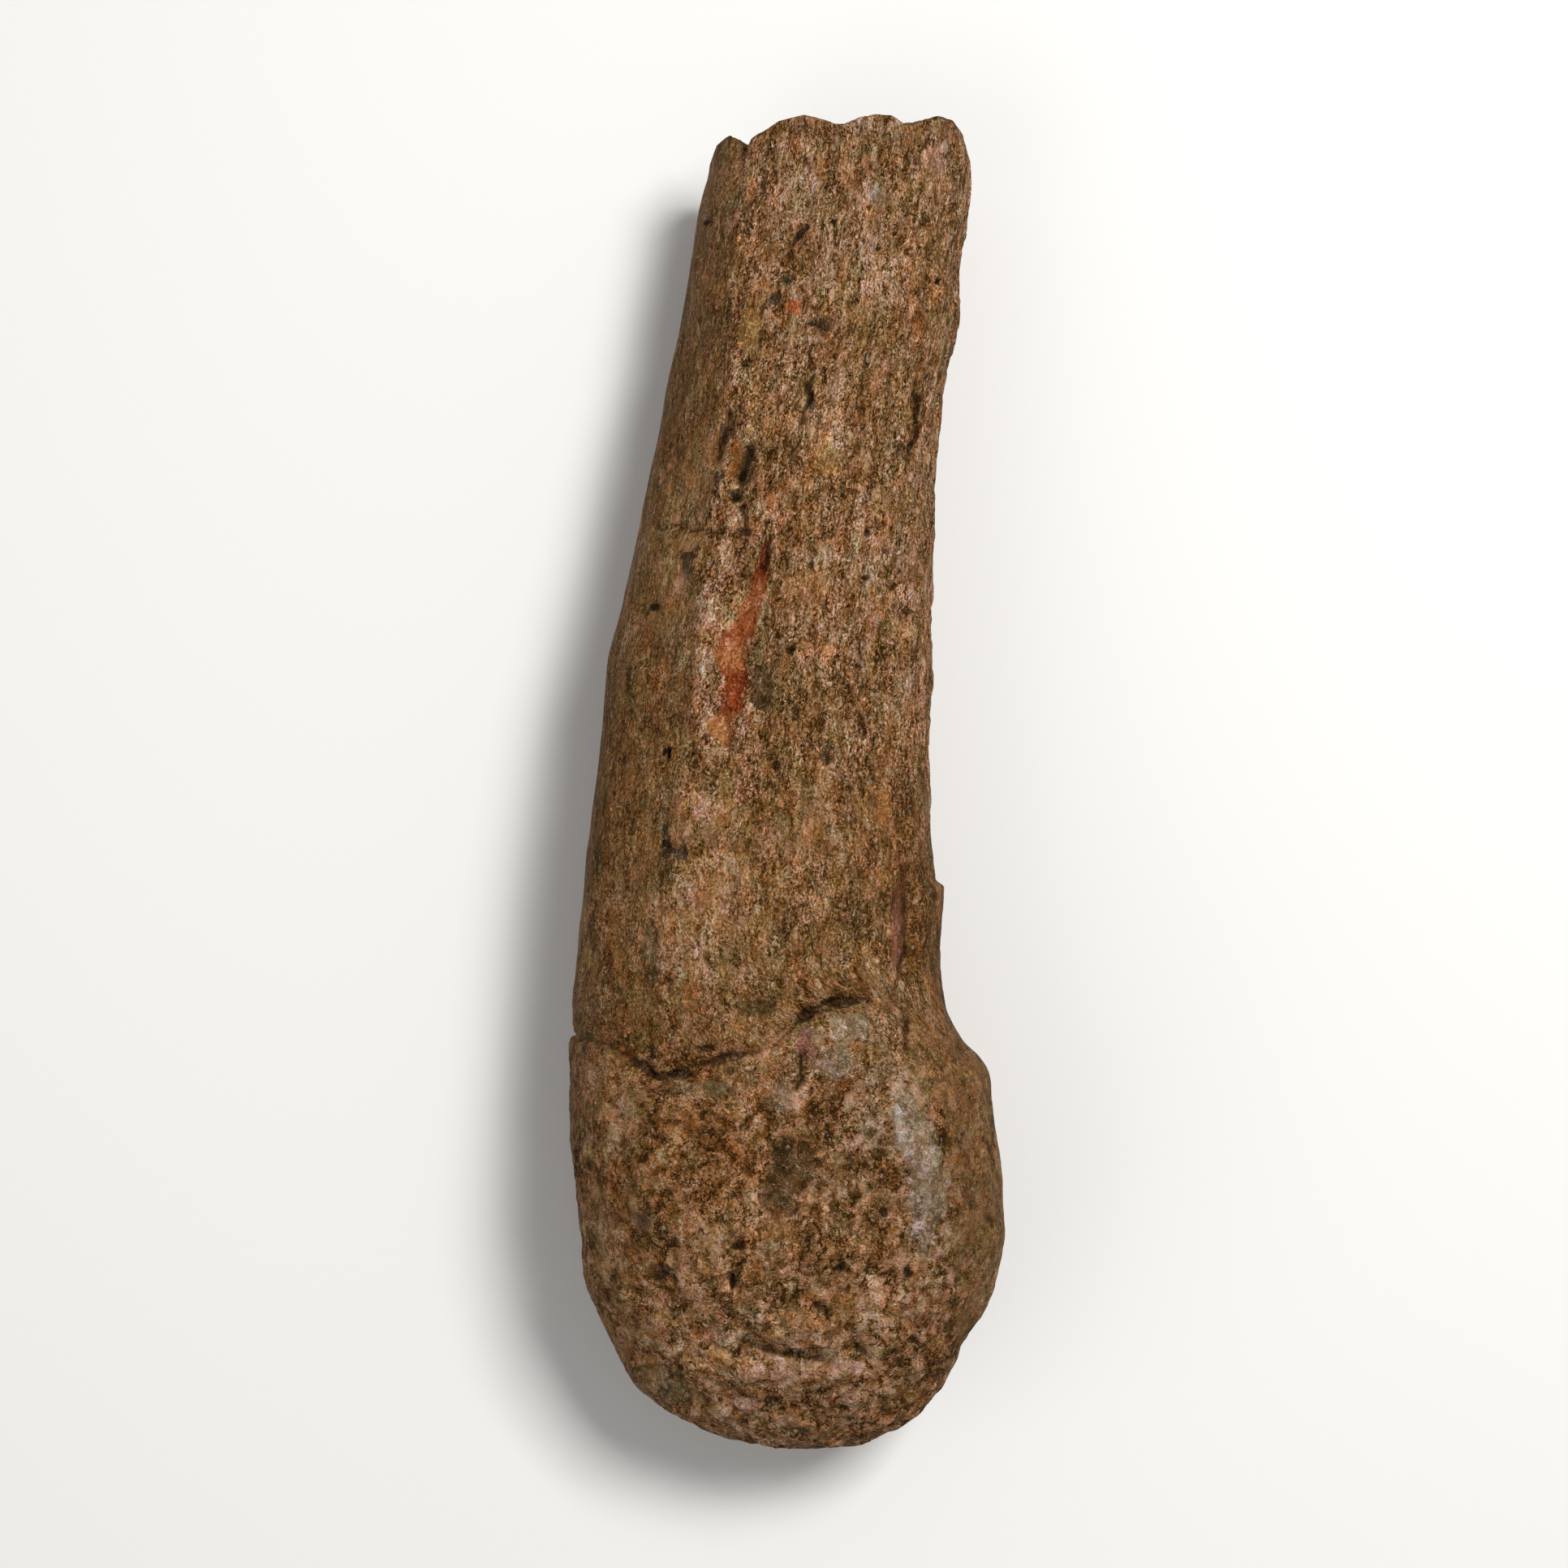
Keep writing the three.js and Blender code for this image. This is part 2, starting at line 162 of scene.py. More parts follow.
# Cracks and thin edges on the upper side: a path in plan, a width and a depth.
CRACKS = [
    ([(-24.8, 45.9), (-21.3, 44.8), (-18.3, 45), (-15.4, 44.1), (-9.7, 43.7), (-8.3, 43.4)], 0.55, 0.6),
    ([(-9.4, 65.4), (-10.2, 61.8), (-11.2, 59), (-11.7, 57.2)], 0.6, 0.6),
    ([(-5.3, 60.2), (-6.1, 57.4), (-7.3, 54.6), (-8.1, 51.7)], 0.8, 0.4),
    ([(-2.3, 53.7), (-3.1, 51.6), (-4, 48), (-5, 45.9), (-5.4, 43.8)], 0.5, 0.6),
    ([(4.7, 72.1), (4.4, 68.8), (4.1, 65.9), (3.4, 63.8), (2.7, 62.3)], 0.6, 0.9),
    ([(0.4, 40.6), (0.6, 38), (0.2, 35)], 0.8, 0.5),
    ([(2.3, 60.9), (1, 57.3)], 0.6, 0.5),
    ([(-3.2, 43), (-3.3, 39), (-4.4, 35)], 0.6, 0.8),
    ([(22.9, 70.1), (23.5, 66.6), (23.2, 60.8), (21.6, 58.1)], 0.65, 1.0),
    ([(4.8, 98.5), (2.9, 96.9), (1.6, 95.2), (1, 93.4)], 0.7, 0.9),
    ([(3.2, 111.5), (3.9, 109), (5, 107.4)], 0.6, 0.6),
    ([(26.3, 114.4), (23.4, 111.3), (20.4, 107.5)], 0.8, 0.45),
    ([(-4.1, 107.5), (-4.2, 104.6), (-5.3, 102.6)], 0.6, 0.6),
    ([(1.4, -8.2), (1.1, -13.9), (1.1, -20.9)], 0.6, 0.4),
    ([(-20.5, -34), (-20, -37.5)], 0.6, 0.6),
    ([(2.8, -45.5), (2.8, -49.8), (2.4, -52.6), (1.7, -54.7)], 0.5, 0.7),
    ([(13, -40.4), (15.6, -42.1), (16.3, -45)], 0.6, 0.5),
    ([(21.4, -39), (21.2, -45.2), (20.8, -47.2)], 0.6, 0.7),
    ([(-9.6, -85.9), (-8.9, -88.8)], 0.9, 1.2),
    ([(5, -91), (6.7, -92), (8.1, -93.9)], 0.9, 0.9),
    ([(8.4, -101.8), (4.6, -101.5), (1, -100.8), (-1.8, -100.1)], 0.7, 0.7),
    ([(11, -97.9), (9.6, -99.8), (8.4, -101.4)], 0.5, 0.6),
    ([(11, -99.1), (13.4, -99.6), (14.9, -101.1)], 0.8, 0.7),
    ([(3.5, 80.9), (5.3, 80.3), (6.9, 79.9)], 0.6, 0.5),
    ([(19, -24), (18.4, -36)], 0.7, -0.7),
]

# Pits on the upper side: x, y, radii across and along, depth.
PITS = [
    (-21.2, 4.7, 0.4, 1.4, 1.8), (-23.5, 30.4, 0.7, 0.6, 0.7), (-8.8, 49.9, 0.7, 0.8, 1.1),
    (-7.5, 48.4, 0.6, 0.6, 0.9), (-1.1, 31.7, 0.6, 0.6, 0.8), (0.6, 23.3, 0.6, 0.7, 1.1),
    (14, 35.6, 0.6, 0.6, 0.9), (18.9, 34, 0.6, 0.75, 1.0), (21.1, 29.7, 0.6, 0.8, 0.9),
    (-3.3, 45.2, 0.7, 0.7, 1.0), (1.7, -75.3, 1.05, 0.7, 1.1), (-8.2, -80.8, 1.1, 0.7, 1.3),
    (9.5, -84.5, 0.9, 0.9, 1.2), (10.9, -88.9, 0.7, 1, 1.2), (21.5, -86.2, 0.8, 1, 1.4),
    (17.2, -75.2, 0.75, 0.75, 1.0), (22.4, -98.3, 0.8, 0.75, 1.1), (-6.9, 73.5, 0.5, 0.7, 0.8),
    (8.2, 98.9, 0.6, 0.6, 0.8), (12.1, 102.1, 0.6, 0.6, 0.8), (19.3, 97.2, 0.5, 0.5, 0.7),
    (16.4, 94.3, 0.5, 0.5, 0.7), (21.4, 93.8, 0.6, 0.6, 0.7), (27.1, 89.2, 0.6, 0.9, 0.8),
    (-13.9, 99.8, 0.6, 0.6, 0.7), (-12.4, 50.6, 0.7, 0.7, 0.9), (14.6, 43.6, 0.75, 1.2, 0.7),
    (-21, -11, 0.6, 1.2, 0.8), (13, 20, 0.6, 0.8, 0.7), (-1.6, 2.8, 0.6, 1.05, 0.7),
]

CENTRE = (-0.26, -0.44, 0)  # the middle of the solid in plan, before it was centred

FINE_RISE = 0.25  # how far the finer forms stand out on average

# The upper side's smoother strips: x at y of the lines that they lie beyond.
RIGHT_EDGE = [(19.5, 0), (20, -50), (29, -60), (29, -100)]

# ---- paint --------------------------------------------------------------------------------------

# Named colours as they look in even light, red, green and blue of 255.
PALETTE = {
    # The darkest of these also serve as painted shade, through the dark patches below.
    "olive black": (38, 23, 4),
    "dark olive": (68, 49, 24),
    "umber": (71, 47, 17),
    "brown": (104, 73, 39),
    "tan": (138, 105, 74),
    "pale tan": (168, 137, 111),
    "bone white": (192, 165, 143),
    "average": (118, 86, 56),
    "slate": (58, 46, 34),
    "grey-green": (118, 96, 68),
    "grey": (122, 103, 82),
    # partly the bone's own pale mineral, partly painted glints
    "white": (156, 138, 118),
    "rose": (148, 110, 84),
    "mauve": (112, 74, 60),
    "red-brown": (116, 78, 46),
    "ochre": (140, 102, 56),
    "orange": (134, 85, 45),
    "rust": (150, 84, 50),
    "salmon": (121, 69, 38),
    "red-orange": (126, 66, 33),
    "red": (104, 43, 11),
    "maroon": (82, 32, 6),
}

# Tints, as shares of the skin's own colour: those that it varies between, and two darker ones, the first
# of them painted shade for hollows, cracks, pits and pores.
COOL = (0.82, 0.95, 1.2, 1)
WARM = (1.2, 0.96, 0.6, 1)
GREENISH = (0.91, 1.06, 0.94, 1)
REDDISH = (1.09, 0.94, 0.98, 1)
SHADOWED = (0.19, 0.172, 0.135)
DUSKY = (0.35, 0.36, 0.25)

# Patches of colour on the upper side: x, y, radii across and along, strength. The dark ones are partly the
# bone's own dark marks and partly painted shade, where they lie in cracks, pits, grooves and hollows.
PATCHES = [
    ("grey-green", [
        (10.4, 112.2, 10, 4, 0.4), (-14.8, 31.8, 3.6, 3.4, 0.5), (-1.5, -55.7, 3.4, 2.6, 0.8),
        (-14, -53.6, 7.5, 1.8, 0.9),
        (-5.4, 76.1, 3, 5, 0.5), (19, 104, 6, 5, 0.5), (-22, -106.2, 7, 4, 0.8), (2, -113.5, 12, 3, 0.5),
    ]),
    ("ochre", [
        (-6.2, 81.2, 2.4, 3, 0.8), (-6.9, 77.6, 2, 2, 0.8), (-13.9, -18.8, 2.4, 4, 0.6),
        (-11.8, -100.8, 2, 1.4, 0.9), (-11, -6.8, 3, 4, 0.5),
        (-18.1, -39.4, 3, 4, 0.5), (7.9, 56.2, 3, 3.6, 0.9), (17.3, -4.2, 1.3, 2.4, 0.8),
    ]),
    ("rose", [
        (26.3, 110.7, 3, 3, 0.9), (-14.9, -4, 1.8, 2.6, 1.2), (-13.6, -32.7, 1.4, 1.8, 0.8),
        (2.4, -55.4, 1.9, 1.8, 1), (-4.4, -47.6, 4.4, 1, 0.7), (-5.4, -103.8, 6, 2, 0.8),
        (11, -102.9, 4, 1.8, 0.8), (-18.6, 34.6, 1.4, 2, 0.9),
        (-26, -76, 4, 4, 0.4),
    ]),
    ("mauve", [
        (27, 109.4, 1.6, 2.4, 0.6), (3.5, -46, 2.4, 4.6, 0.8), (-15.3, -21, 3, 5, 0.5),
        (19.6, -27, 1.3, 8, 0.9), (-1.5, -52, 2, 3, 0.6), (8, -34.5, 6, 1.6, 0.4),
    ]),
    ("orange", [
        (-8.9, 58.5, 1.4, 2.4, 0.9), (-9.3, 54.5, 0.9, 1.8, 0.8), (-2.6, 49.4, 1, 3, 0.8),
        (-6.2, 103.9, 1, 3, 0.8), (4.4, 95, 1.6, 3, 0.5), (17.3, -5.7, 1.7, 3.6, 0.5),
        (-6.1, -23.7, 3, 4, 0.4), (-16.6, -59.7, 4.4, 4, 0.6),
        (-8.9, -65.3, 4, 3, 0.6), (2.5, -94, 6, 4.5, 0.6), (-13.9, -97.9, 4, 3, 0.4),
        (23, -89.2, 4, 6, 0.5), (-1.1, -80.1, 5, 4, 0.5), (18.8, -96.6, 3, 4, 0.5),
        (-26.7, -85.1, 4, 4, 0.4), (-15, 62, 2.4, 5, 0.3), (16, -17, 4, 12, 0.4),
    ]),
    ("red-brown", [
        (33.5, -75, 5, 14, 0.6), (31.7, -56, 4, 6, 0.6), (-20, -70, 3, 4, 0.5),
        (22, -12, 2.5, 20, 0.3), (-28, -71, 3, 3, 0.6), (7.4, -11.1, 2, 3, 0.6),
    ]),
    ("red", [
        (0.7, 82.9, 1, 1, 0.75), (0.3, 91.7, 0.8, 0.8, 0.7), (-1.1, -105.3, 0.7, 0.6, 1),
        (14, 35.6, 0.7, 0.8, 0.6), (-11.1, 45.9, 0.8, 1.4, 0.6), (-18.1, -48.6, 1.4, 0.7, 0.6),
        (4.2, 53, 0.6, 0.6, 0.6), (14, -66, 1, 1, 0.5),
    ]),
    ("rust", [
        (0.8, 84.1, 1.3, 1.1, 0.75), (1.9, 82.9, 1.2, 1.5, 0.75), (2.6, 84.6, 1, 1, 0.5),
        (-13, 27, 2, 2, 0.5), (-2.4, 60.6, 0.5, 2, 0.5),
    ]),
    # partly slate-grey marks, partly painted shade in cracks, grooves and pits
    ("slate", [
        (2.4, 96.3, 0.9, 1.2, 0.9), (0, 88.4, 1.6, 1.4, 0.9), (-1.9, 84.8, 1.4, 1.4, 0.9),
        (-17.3, 37.8, 1, 2.2, 1.5), (-23.5, 30.4, 0.8, 0.7, 0.8),
        (-11.8, 53.6, 0.9, 1.5, 1), (-9.7, 50.8, 1.2, 0.7, 1), (-15.4, 40.9, 0.8, 0.8, 1.1),
        (-11, 62, 0.8, 1.6, 1), (4.5, 66.3, 0.8, 2.6, 0.8), (-6.2, 57.6, 0.5, 0.5, 0.6),
        (12.4, 46, 1.2, 3, 0.5),
        (8, 57, 3, 2, 0.4), (-20.5, -4, 2.6, 5, 0.55), (-19, -12, 1.6, 3, 0.6),
    ]),
    # partly dark olive patches, partly painted shade in cracks, grooves and the hollows beside the stain
    # and between the knuckles
    ("dark olive", [
        (-13, -49.6, 4.5, 1.1, 0.6),
        (6.7, 80.6, 2.4, 1.6, 0.9), (-6.8, 55.5, 1.8, 5, 0.8), (-8.2, 50, 1.4, 1.6, 0.9),
        (-7.2, 43.6, 1.8, 0.9, 1.1), (1.4, 60.5, 1, 1.4, 0.8), (-4.1, 16.6, 2.6, 4.4, 1.1),
        (-3.9, -39.3, 3, 2.2, 0.7), (1.7, -66.2, 7, 6, 0.8),
        (13, -61.9, 4, 4, 0.5), (20.4, 57.7, 2.6, 3, 0.7), (17.5, 28.9, 3, 8, 0.35),
        (15.3, 0.3, 4, 6, 0.5), (-29.8, 0.3, 4, 16, 0.4), (-23.8, -30.9, 3, 9, 0.7),
        (-1.1, -73.1, 6, 5, 0.6), (-9, 70.4, 1.4, 4, 0.5), (-24.8, -90, 6, 5, 0.4),
        (0, -33, 3, 4, 0.5), (9, 76, 2, 8, 0.3), (-12, -12, 3, 6, 0.4), (6, 10, 6, 10, 0.4),
        (-14, -110, 10, 3, 0.5), (8, 66, 3, 3, 0.3), (-10, -38, 5, 4, 0.3),
    ]),
    # partly near-black spots, partly painted shade in cracks, pits, the fracture and the lip's groove
    ("olive black", [
        (3.9, 80.6, 2.4, 0.6, 0.5), (-18.6, -51.2, 2.4, 0.9, 1.3), (9.4, -38.5, 3.8, 0.9, 1.3),
        (0.4, 38, 0.8, 2.4, 0.8),
        (-16.9, 39.6, 1.9, 0.5, 1.3), (-4.6, 14.5, 1.2, 1.6, 0.9), (2.4, 12.4, 0.8, 2, 0.5),
        (-27.7, 18.2, 0.9, 4, 0.6), (-28.2, -15.4, 1, 3, 0.5), (-17.4, -12.5, 1, 3, 0.7),
        (-21, -11.1, 1, 3.6, 0.8), (-13.8, -46.6, 2.6, 1, 0.8), (-23.3, -47.6, 0.8, 2.6, 0.9),
        (-25.2, -77, 1.8, 1.6, 0.9),
        (-21.7, -85.5, 2.4, 1.6, 0.9), (2.5, -115.3, 2.6, 0.6, 0.9), (14.6, 11.7, 1.2, 2, 0.6),
        (4.6, 37.3, 1, 2.4, 0.7), (13.1, 23.1, 1, 2, 0.6), (7.4, 4.5, 0.9, 3, 0.4),
        (4.5, -84.5, 1.6, 1.6, 0.6), (16.5, -84.5, 1.4, 1.4, 0.6), (-21.2, 4.7, 0.5, 1.5, 1),
        (-9.3, -87.4, 0.8, 1.8, 1), (4.5, -101.6, 5, 0.7, 0.5), (-14.6, -88, 2, 1.2, 0.6),
    ]),
    ("grey", [
        (10.9, -42.7, 4.6, 2.8, 1), (9.4, -49, 4, 3.4, 0.9), (22.2, -61, 4.4, 6, 0.9),
        (24.6, -71, 4.2, 7, 0.9), (20.6, -52, 2, 5, 0.6), (24, -80, 3.4, 5, 0.7), (15.6, 103, 3, 2, 0.4),
    ]),
    # partly the bone's own white mineral, partly painted glints on the rim and on the grey ridge
    ("white", [
        (28.5, 113.2, 0.7, 1.3, 0.9), (14.7, 43.2, 0.8, 1.8, 0.7), (10.9, -13.9, 0.7, 1.4, 0.6),
        (10.2, -42.3, 0.7, 0.7, 0.7), (8.7, -51.6, 0.8, 0.6, 0.8), (25.7, -65.4, 1.3, 1.3, 1.3),
        (23.6, -77.5, 1, 1.3, 0.8), (18.9, -58, 1.3, 1.3, 0.8), (20.8, -62, 1, 1.3, 1.1),
        (-14.4, 19, 0.8, 1.6, 0.9), (13.6, -44.6, 0.6, 0.6, 0.7), (6.4, -46.4, 0.6, 0.6, 0.6),
        (11.6, 39, 1.6, 2, 0.5), (-3.7, 54.6, 0.6, 1, 0.6),
    ]),
]

# Broad lighter and darker areas of the upper side: x, y, radii across and along, tone, warmth. Some of
# them are painted light and shade, as marked; the rest are the bone's own tone and colour.
ZONES = {
    # partly painted light: the upper right of the shaft by the break, lighter where the light falls, and
    # cooler in colour
    "pale top": (10, 100, 14, 14, 0.1, -0.2),
    "olive left flank": (-20, 68, 5, 25, -0.05, 0.2),
    "pale left of the stain": (-16, 28, 5, 12, 0.15, -0.3),
    "dark right of the stain": (-3, 22, 5, 14, -0.1, 0.1),
    "pale right of the middle": (12, 30, 8, 10, 0.1, 0),
    "dark below that": (16, 0, 7, 14, -0.1, 0.1),
    # painted shade on the left edge, which turns away from the light
    "painted shade on the left edge": (-31, -14, 6, 16, -0.1, 0.2),
    # partly painted light on the crest of the shaft above the fracture
    "pale ridge above the fracture": (-12, -24, 8, 18, 0.1, 0),
    "brown right flank": (26, -30, 5, 14, -0.1, 0.3),
    "dark strip under the fracture": (-14, -54, 8, 3, -0.2, 0.1),
    "orange-brown hollow": (-10, -64, 6, 12, -0.1, 0.5),
    "grey ridge": (18, -58, 7, 12, 0.1, -0.5),
    "ruddy right knuckle": (31, -78, 6, 14, 0.05, -0.5),
    # partly painted light: the lip and the tip made lighter where they slope away from the light, and
    # cooler in colour
    "pale lip": (0, -103, 16, 7, 0.15, -0.2),
}

# The red stain: y, and the x of its left and right edges.
STAIN = [
    (41.8, -4, -3.1), (39.7, -4.6, -3), (37.7, -5, -3.1), (34.9, -6, -3.4), (31.7, -7, -4.1),
    (29.4, -8.5, -4.5), (27, -9.9, -5), (24.6, -11.3, -6.5), (22.3, -11.9, -7.1), (20.6, -11.7, -7.5),
    (17.9, -10.6, -6.5), (15.9, -10.9, -6.7), (13.9, -11.5, -7.5), (11.9, -11.1, -8.1),
    (10.5, -13, -8.9), (8.8, -14, -9.1), (7.2, -11.6, -9.2), (6.2, -10.4, -9.6),
]

# ---- how finely the skin is made ------------------------------------------------------------------

COLUMNS = 226
UPPER_CROWDING = 0.35
FACE_ROWS = 38
BODY_ROWS = 392
FINE_BANDS = [(114, 5), (-18, 4), (FRACTURE_LEVEL, 9), (-101, 5)]  # y, reach


def smoothstep(value, low, high):
    share = np.clip((value - low) / (high - low), 0, 1)
    return share * share * (3 - 2 * share)


def bell(distance):
    return np.exp(-distance * distance)


def lerp(a, b, share):
    return a + (b - a) * share


def line_at(line, x):
    """The second value of a line's points, at x."""
    points = np.array(sorted(point[:2] for point in line))
    return np.interp(x, points[:, 0], points[:, 1])


def edge_at(line, y):
    """The x of a line that runs along the bone, at y."""
    return line_at([(along, across) for across, along in line], y)


def nearest(path, x, y):
    """The distance to a path in plan, and the nearest place on it, counted in its points."""
    distance = np.full(x.shape, np.inf)
    place = np.zeros(x.shape)
    for i, (start, end) in enumerate(zip(path, path[1:])):
        dx, dy = end[0] - start[0], end[1] - start[1]
        share = ((x - start[0]) * dx + (y - start[1]) * dy) / (dx * dx + dy * dy)
        share = np.clip(share, 0, 1)
        here = np.hypot(x - start[0] - share * dx, y - start[1] - share * dy)
        place = np.where(here < distance, i + share, place)
        distance = np.minimum(here, distance)
    return distance, place


def perlin(points, size):
    """Blender's own noise between about -1 and 1, with features of a size, one number or three."""
    scaled = (points / np.array(size)).reshape(-1, 3)
    return np.array([noise.noise(point) for point in scaled.tolist()]).reshape(points.shape[:-1])


def cells(points, size):
    """How far each point is from the border of its cell: 0 on the border."""
    scaled = (points / np.array(size)).reshape(-1, 3)
    found = [noise.voronoi(point)[0] for point in scaled.tolist()]
    return np.array([near[1] - near[0] for near in found]).reshape(points.shape[:-1])


# ---- the skin's points ----------------------------------------------------------------------------


def sections_at(s):
    """The sections at places s along the list, by Catmull-Rom curves. Past the tip the sides swap."""
    swapped = SECTIONS[TIP - 1][[0, 2, 1, 4, 3]]
    rows = np.vstack([SECTIONS[0], SECTIONS, swapped])
    i = np.minimum(s.astype(int), TIP - 1)
    f = (s - i)[:, None]
    a, b, c, d = rows[i], rows[i + 1], rows[i + 2], rows[i + 3]
    start, end = (c - a) / 2, (d - b) / 2
    bend = 3 * (c - b) - 2 * start - end
    return b + f * (start + f * (bend + f * (2 * (b - c) + start + end)))


def places(start, end, rows):
    """Places of rings along the list of sections, closer together in the fine bands."""
    s = np.linspace(start, end, 4000)
    y, _, _, upper, _ = sections_at(s).T
    fine = np.max([bell((y - at) / reach) for at, reach in FINE_BANDS], axis=0)
    middle = (fine[1:] + fine[:-1]) / 2
    counted = np.cumsum(np.hypot(np.diff(y), np.diff(upper)) * (1 + middle))
    counted = np.concatenate([[0], counted])
    return np.interp(np.linspace(0, counted[-1], rows), counted, s)


def body_places():
    """All the body's rings, one of them along the fracture."""
    upper_rows = round(BODY_ROWS * 0.67)
    upper = places(0, FRACTURE_PLACE, upper_rows)
    return np.concatenate([upper, places(FRACTURE_PLACE, TIP, BODY_ROWS - upper_rows + 2)[1:-1]])


def squared(v):
    return np.sign(v) * np.abs(v) ** 0.9


def body_points(s, angles):
    """The body's rings, an oval between the sides, and the same with the bone's taper taken out."""
    y, left, right, upper, under = (side[:, None] for side in sections_at(s).T)
    across, high = squared(np.cos(angles)), squared(np.sin(angles))
    x = lerp(left, right, (1 + across) / 2)
    z = lerp(under, upper, (1 + high) / 2)
    on_top = np.broadcast_to(np.sin(angles) >= 0, x.shape)
    rim = np.where(on_top, line_at(RIM["upper"], x), line_at(RIM["under"], x))
    crack = np.where(on_top, line_at(FRACTURE["upper"], x), line_at(FRACTURE["under"], x))
    near_rim = np.clip(1 - (BROKEN - y) / RIM_REACH, 0, 1) ** 2
    near_fracture = 1 - smoothstep(np.abs(y - FRACTURE_LEVEL), 0, FRACTURE_REACH)
    y = y + near_rim * (rim - BROKEN) + near_fracture * (crack - FRACTURE_LEVEL)
    points = np.stack([x, y, z], axis=-1)
    half_width, half_height = 30, 22
    straight = np.stack([half_width * across + 0 * y, y, half_height * (1 + high) + 0 * y], axis=-1)
    return points, lerp(straight, points, smoothstep(-y, 30, 62)[..., None])


def grain_places(straight):
    """The straightened bone shortened along the shaft, so that a round grain makes a lengthwise one."""
    y = np.linspace(-130, 130, 521)
    shortened = np.cumsum(lerp(0.72, 1, on_knuckle(y))) * (y[1] - y[0])
    grain = straight.copy()
    grain[..., 1] = np.interp(straight[..., 1], y, shortened)
    return grain


def face_points(rim, straight_rim):
    """The broken face, from its middle to the rim: dense bone outside, spongy bone sunk within."""
    middle = rim.mean(axis=0)
    middle[1] = BROKEN - HOLLOW
    share = (1 - np.arange(1, FACE_ROWS + 1) / (FACE_ROWS + 1)) ** 1.15
    share = share[:, None, None]
    points = lerp(rim, middle, share)
    straight = lerp(straight_rim, straight_rim.mean(axis=0), share)
    share = share[..., 0]
    dense = CORTEX / np.linalg.norm(rim - middle, axis=1)
    evened = local_mean(rim[None, :, 1], 0, NOTCH_COLUMNS)
    level = lerp(rim[:, 1], evened, smoothstep(share, 0, NOTCH_SHARE))
    level = lerp(level, middle[1] + HOLLOW, smoothstep(share, 0, 1))
    sunk = smoothstep(share, dense, dense + 0.25)
    points[..., 1] = level - HOLLOW * sunk
    return points, straight, np.maximum(sunk, 0.35), middle


def grid_normals(points):
    along = np.gradient(points, axis=0)
    across = np.roll(points, -1, axis=1) - np.roll(points, 1, axis=1)
    normals = np.cross(across, along)
    return normals / np.linalg.norm(normals, axis=-1, keepdims=True)


# ---- relief along the normals -----------------------------------------------------------------------


def swelling_relief(swellings, x, y):
    heights = [h * bell(np.hypot((x - at) / a, (y - up) / b)) for at, up, a, b, h in swellings]
    return sum(heights)


def line_relief(lines, x, y):
    total = 0
    for path, width, height in lines:
        distance, place = nearest(path, x, y)
        end = np.minimum(place, len(path) - 1 - place) / (len(path) - 1)
        total = total + height * smoothstep(end, -0.05, 0.15) * bell(distance / width)
    return total


def fracture_relief(path, x, y):
    distance, place = nearest(path, x, y)
    depth = np.interp(place, range(len(path)), [point[2] for point in path])
    below = smoothstep(line_at(path, x) - y, 0, FRACTURE_WIDTH) * np.minimum(depth, 1)
    step = FRACTURE_STEP * below * bell(distance / STEP_REACH)
    return step - depth * bell(distance / FRACTURE_WIDTH)


def flange_relief(x, y):
    step = smoothstep(FLANGE["top"] - y, -FLANGE["edge"], 0)
    taper = smoothstep(y, FLANGE["bottom"], FLANGE["top"])
    return FLANGE["height"] * step * taper * smoothstep(x, FLANGE["inside"], FLANGE["inside"] + 2)


def on_knuckle(y):
    return smoothstep(-y, 35, 65)


def large_relief(points, normals):
    """The forms that the solid has too."""
    x, y = points[..., 0], points[..., 1]
    height = flange_relief(x, y)
    for size, shaft, knuckle in LUMPS:
        bumps = perlin(points, (size, size / 0.6, size))
        height = height + bumps * lerp(shaft, knuckle, on_knuckle(y))
    for side, facing in (("upper", normals[..., 2]), ("under", -normals[..., 2])):
        forms = swelling_relief(SWELLINGS[side], x, y) + line_relief(LINES[side], x, y)
        height = height + smoothstep(facing, 0, 0.5) * forms
        height = height + smoothstep(facing, -0.3, 0) * fracture_relief(FRACTURE[side], *wiggled(points))
    return height


def smooth_strips(points, normals):
    """1 where the bone's surface is sound and smooth, along its sides, and 0 where it is weathered."""
    x, y = points[..., 0], points[..., 1]
    left = smoothstep(edge_at(LEFT_EDGE, y) - x, -1, 3) * lerp(1, 0.5, smoothstep(-y, 44, 50))
    right = smoothstep(x - edge_at(RIGHT_EDGE, y), -1, 2) * smoothstep(-y, 20, 50)
    right = right * (1 - smoothstep(-y, 96, 104))
    under = smoothstep(-normals[..., 2], 0.1, 0.6) * (1 - on_knuckle(y))
    lower = 0.6 * smoothstep(-y, -8, 8) * (1 - on_knuckle(y))
    ragged = 0.35 * perlin(points + 40, (5, 12, 5))
    return np.clip(np.max([left, right, lower, 0.8 * under], axis=0) + ragged, 0, 1)


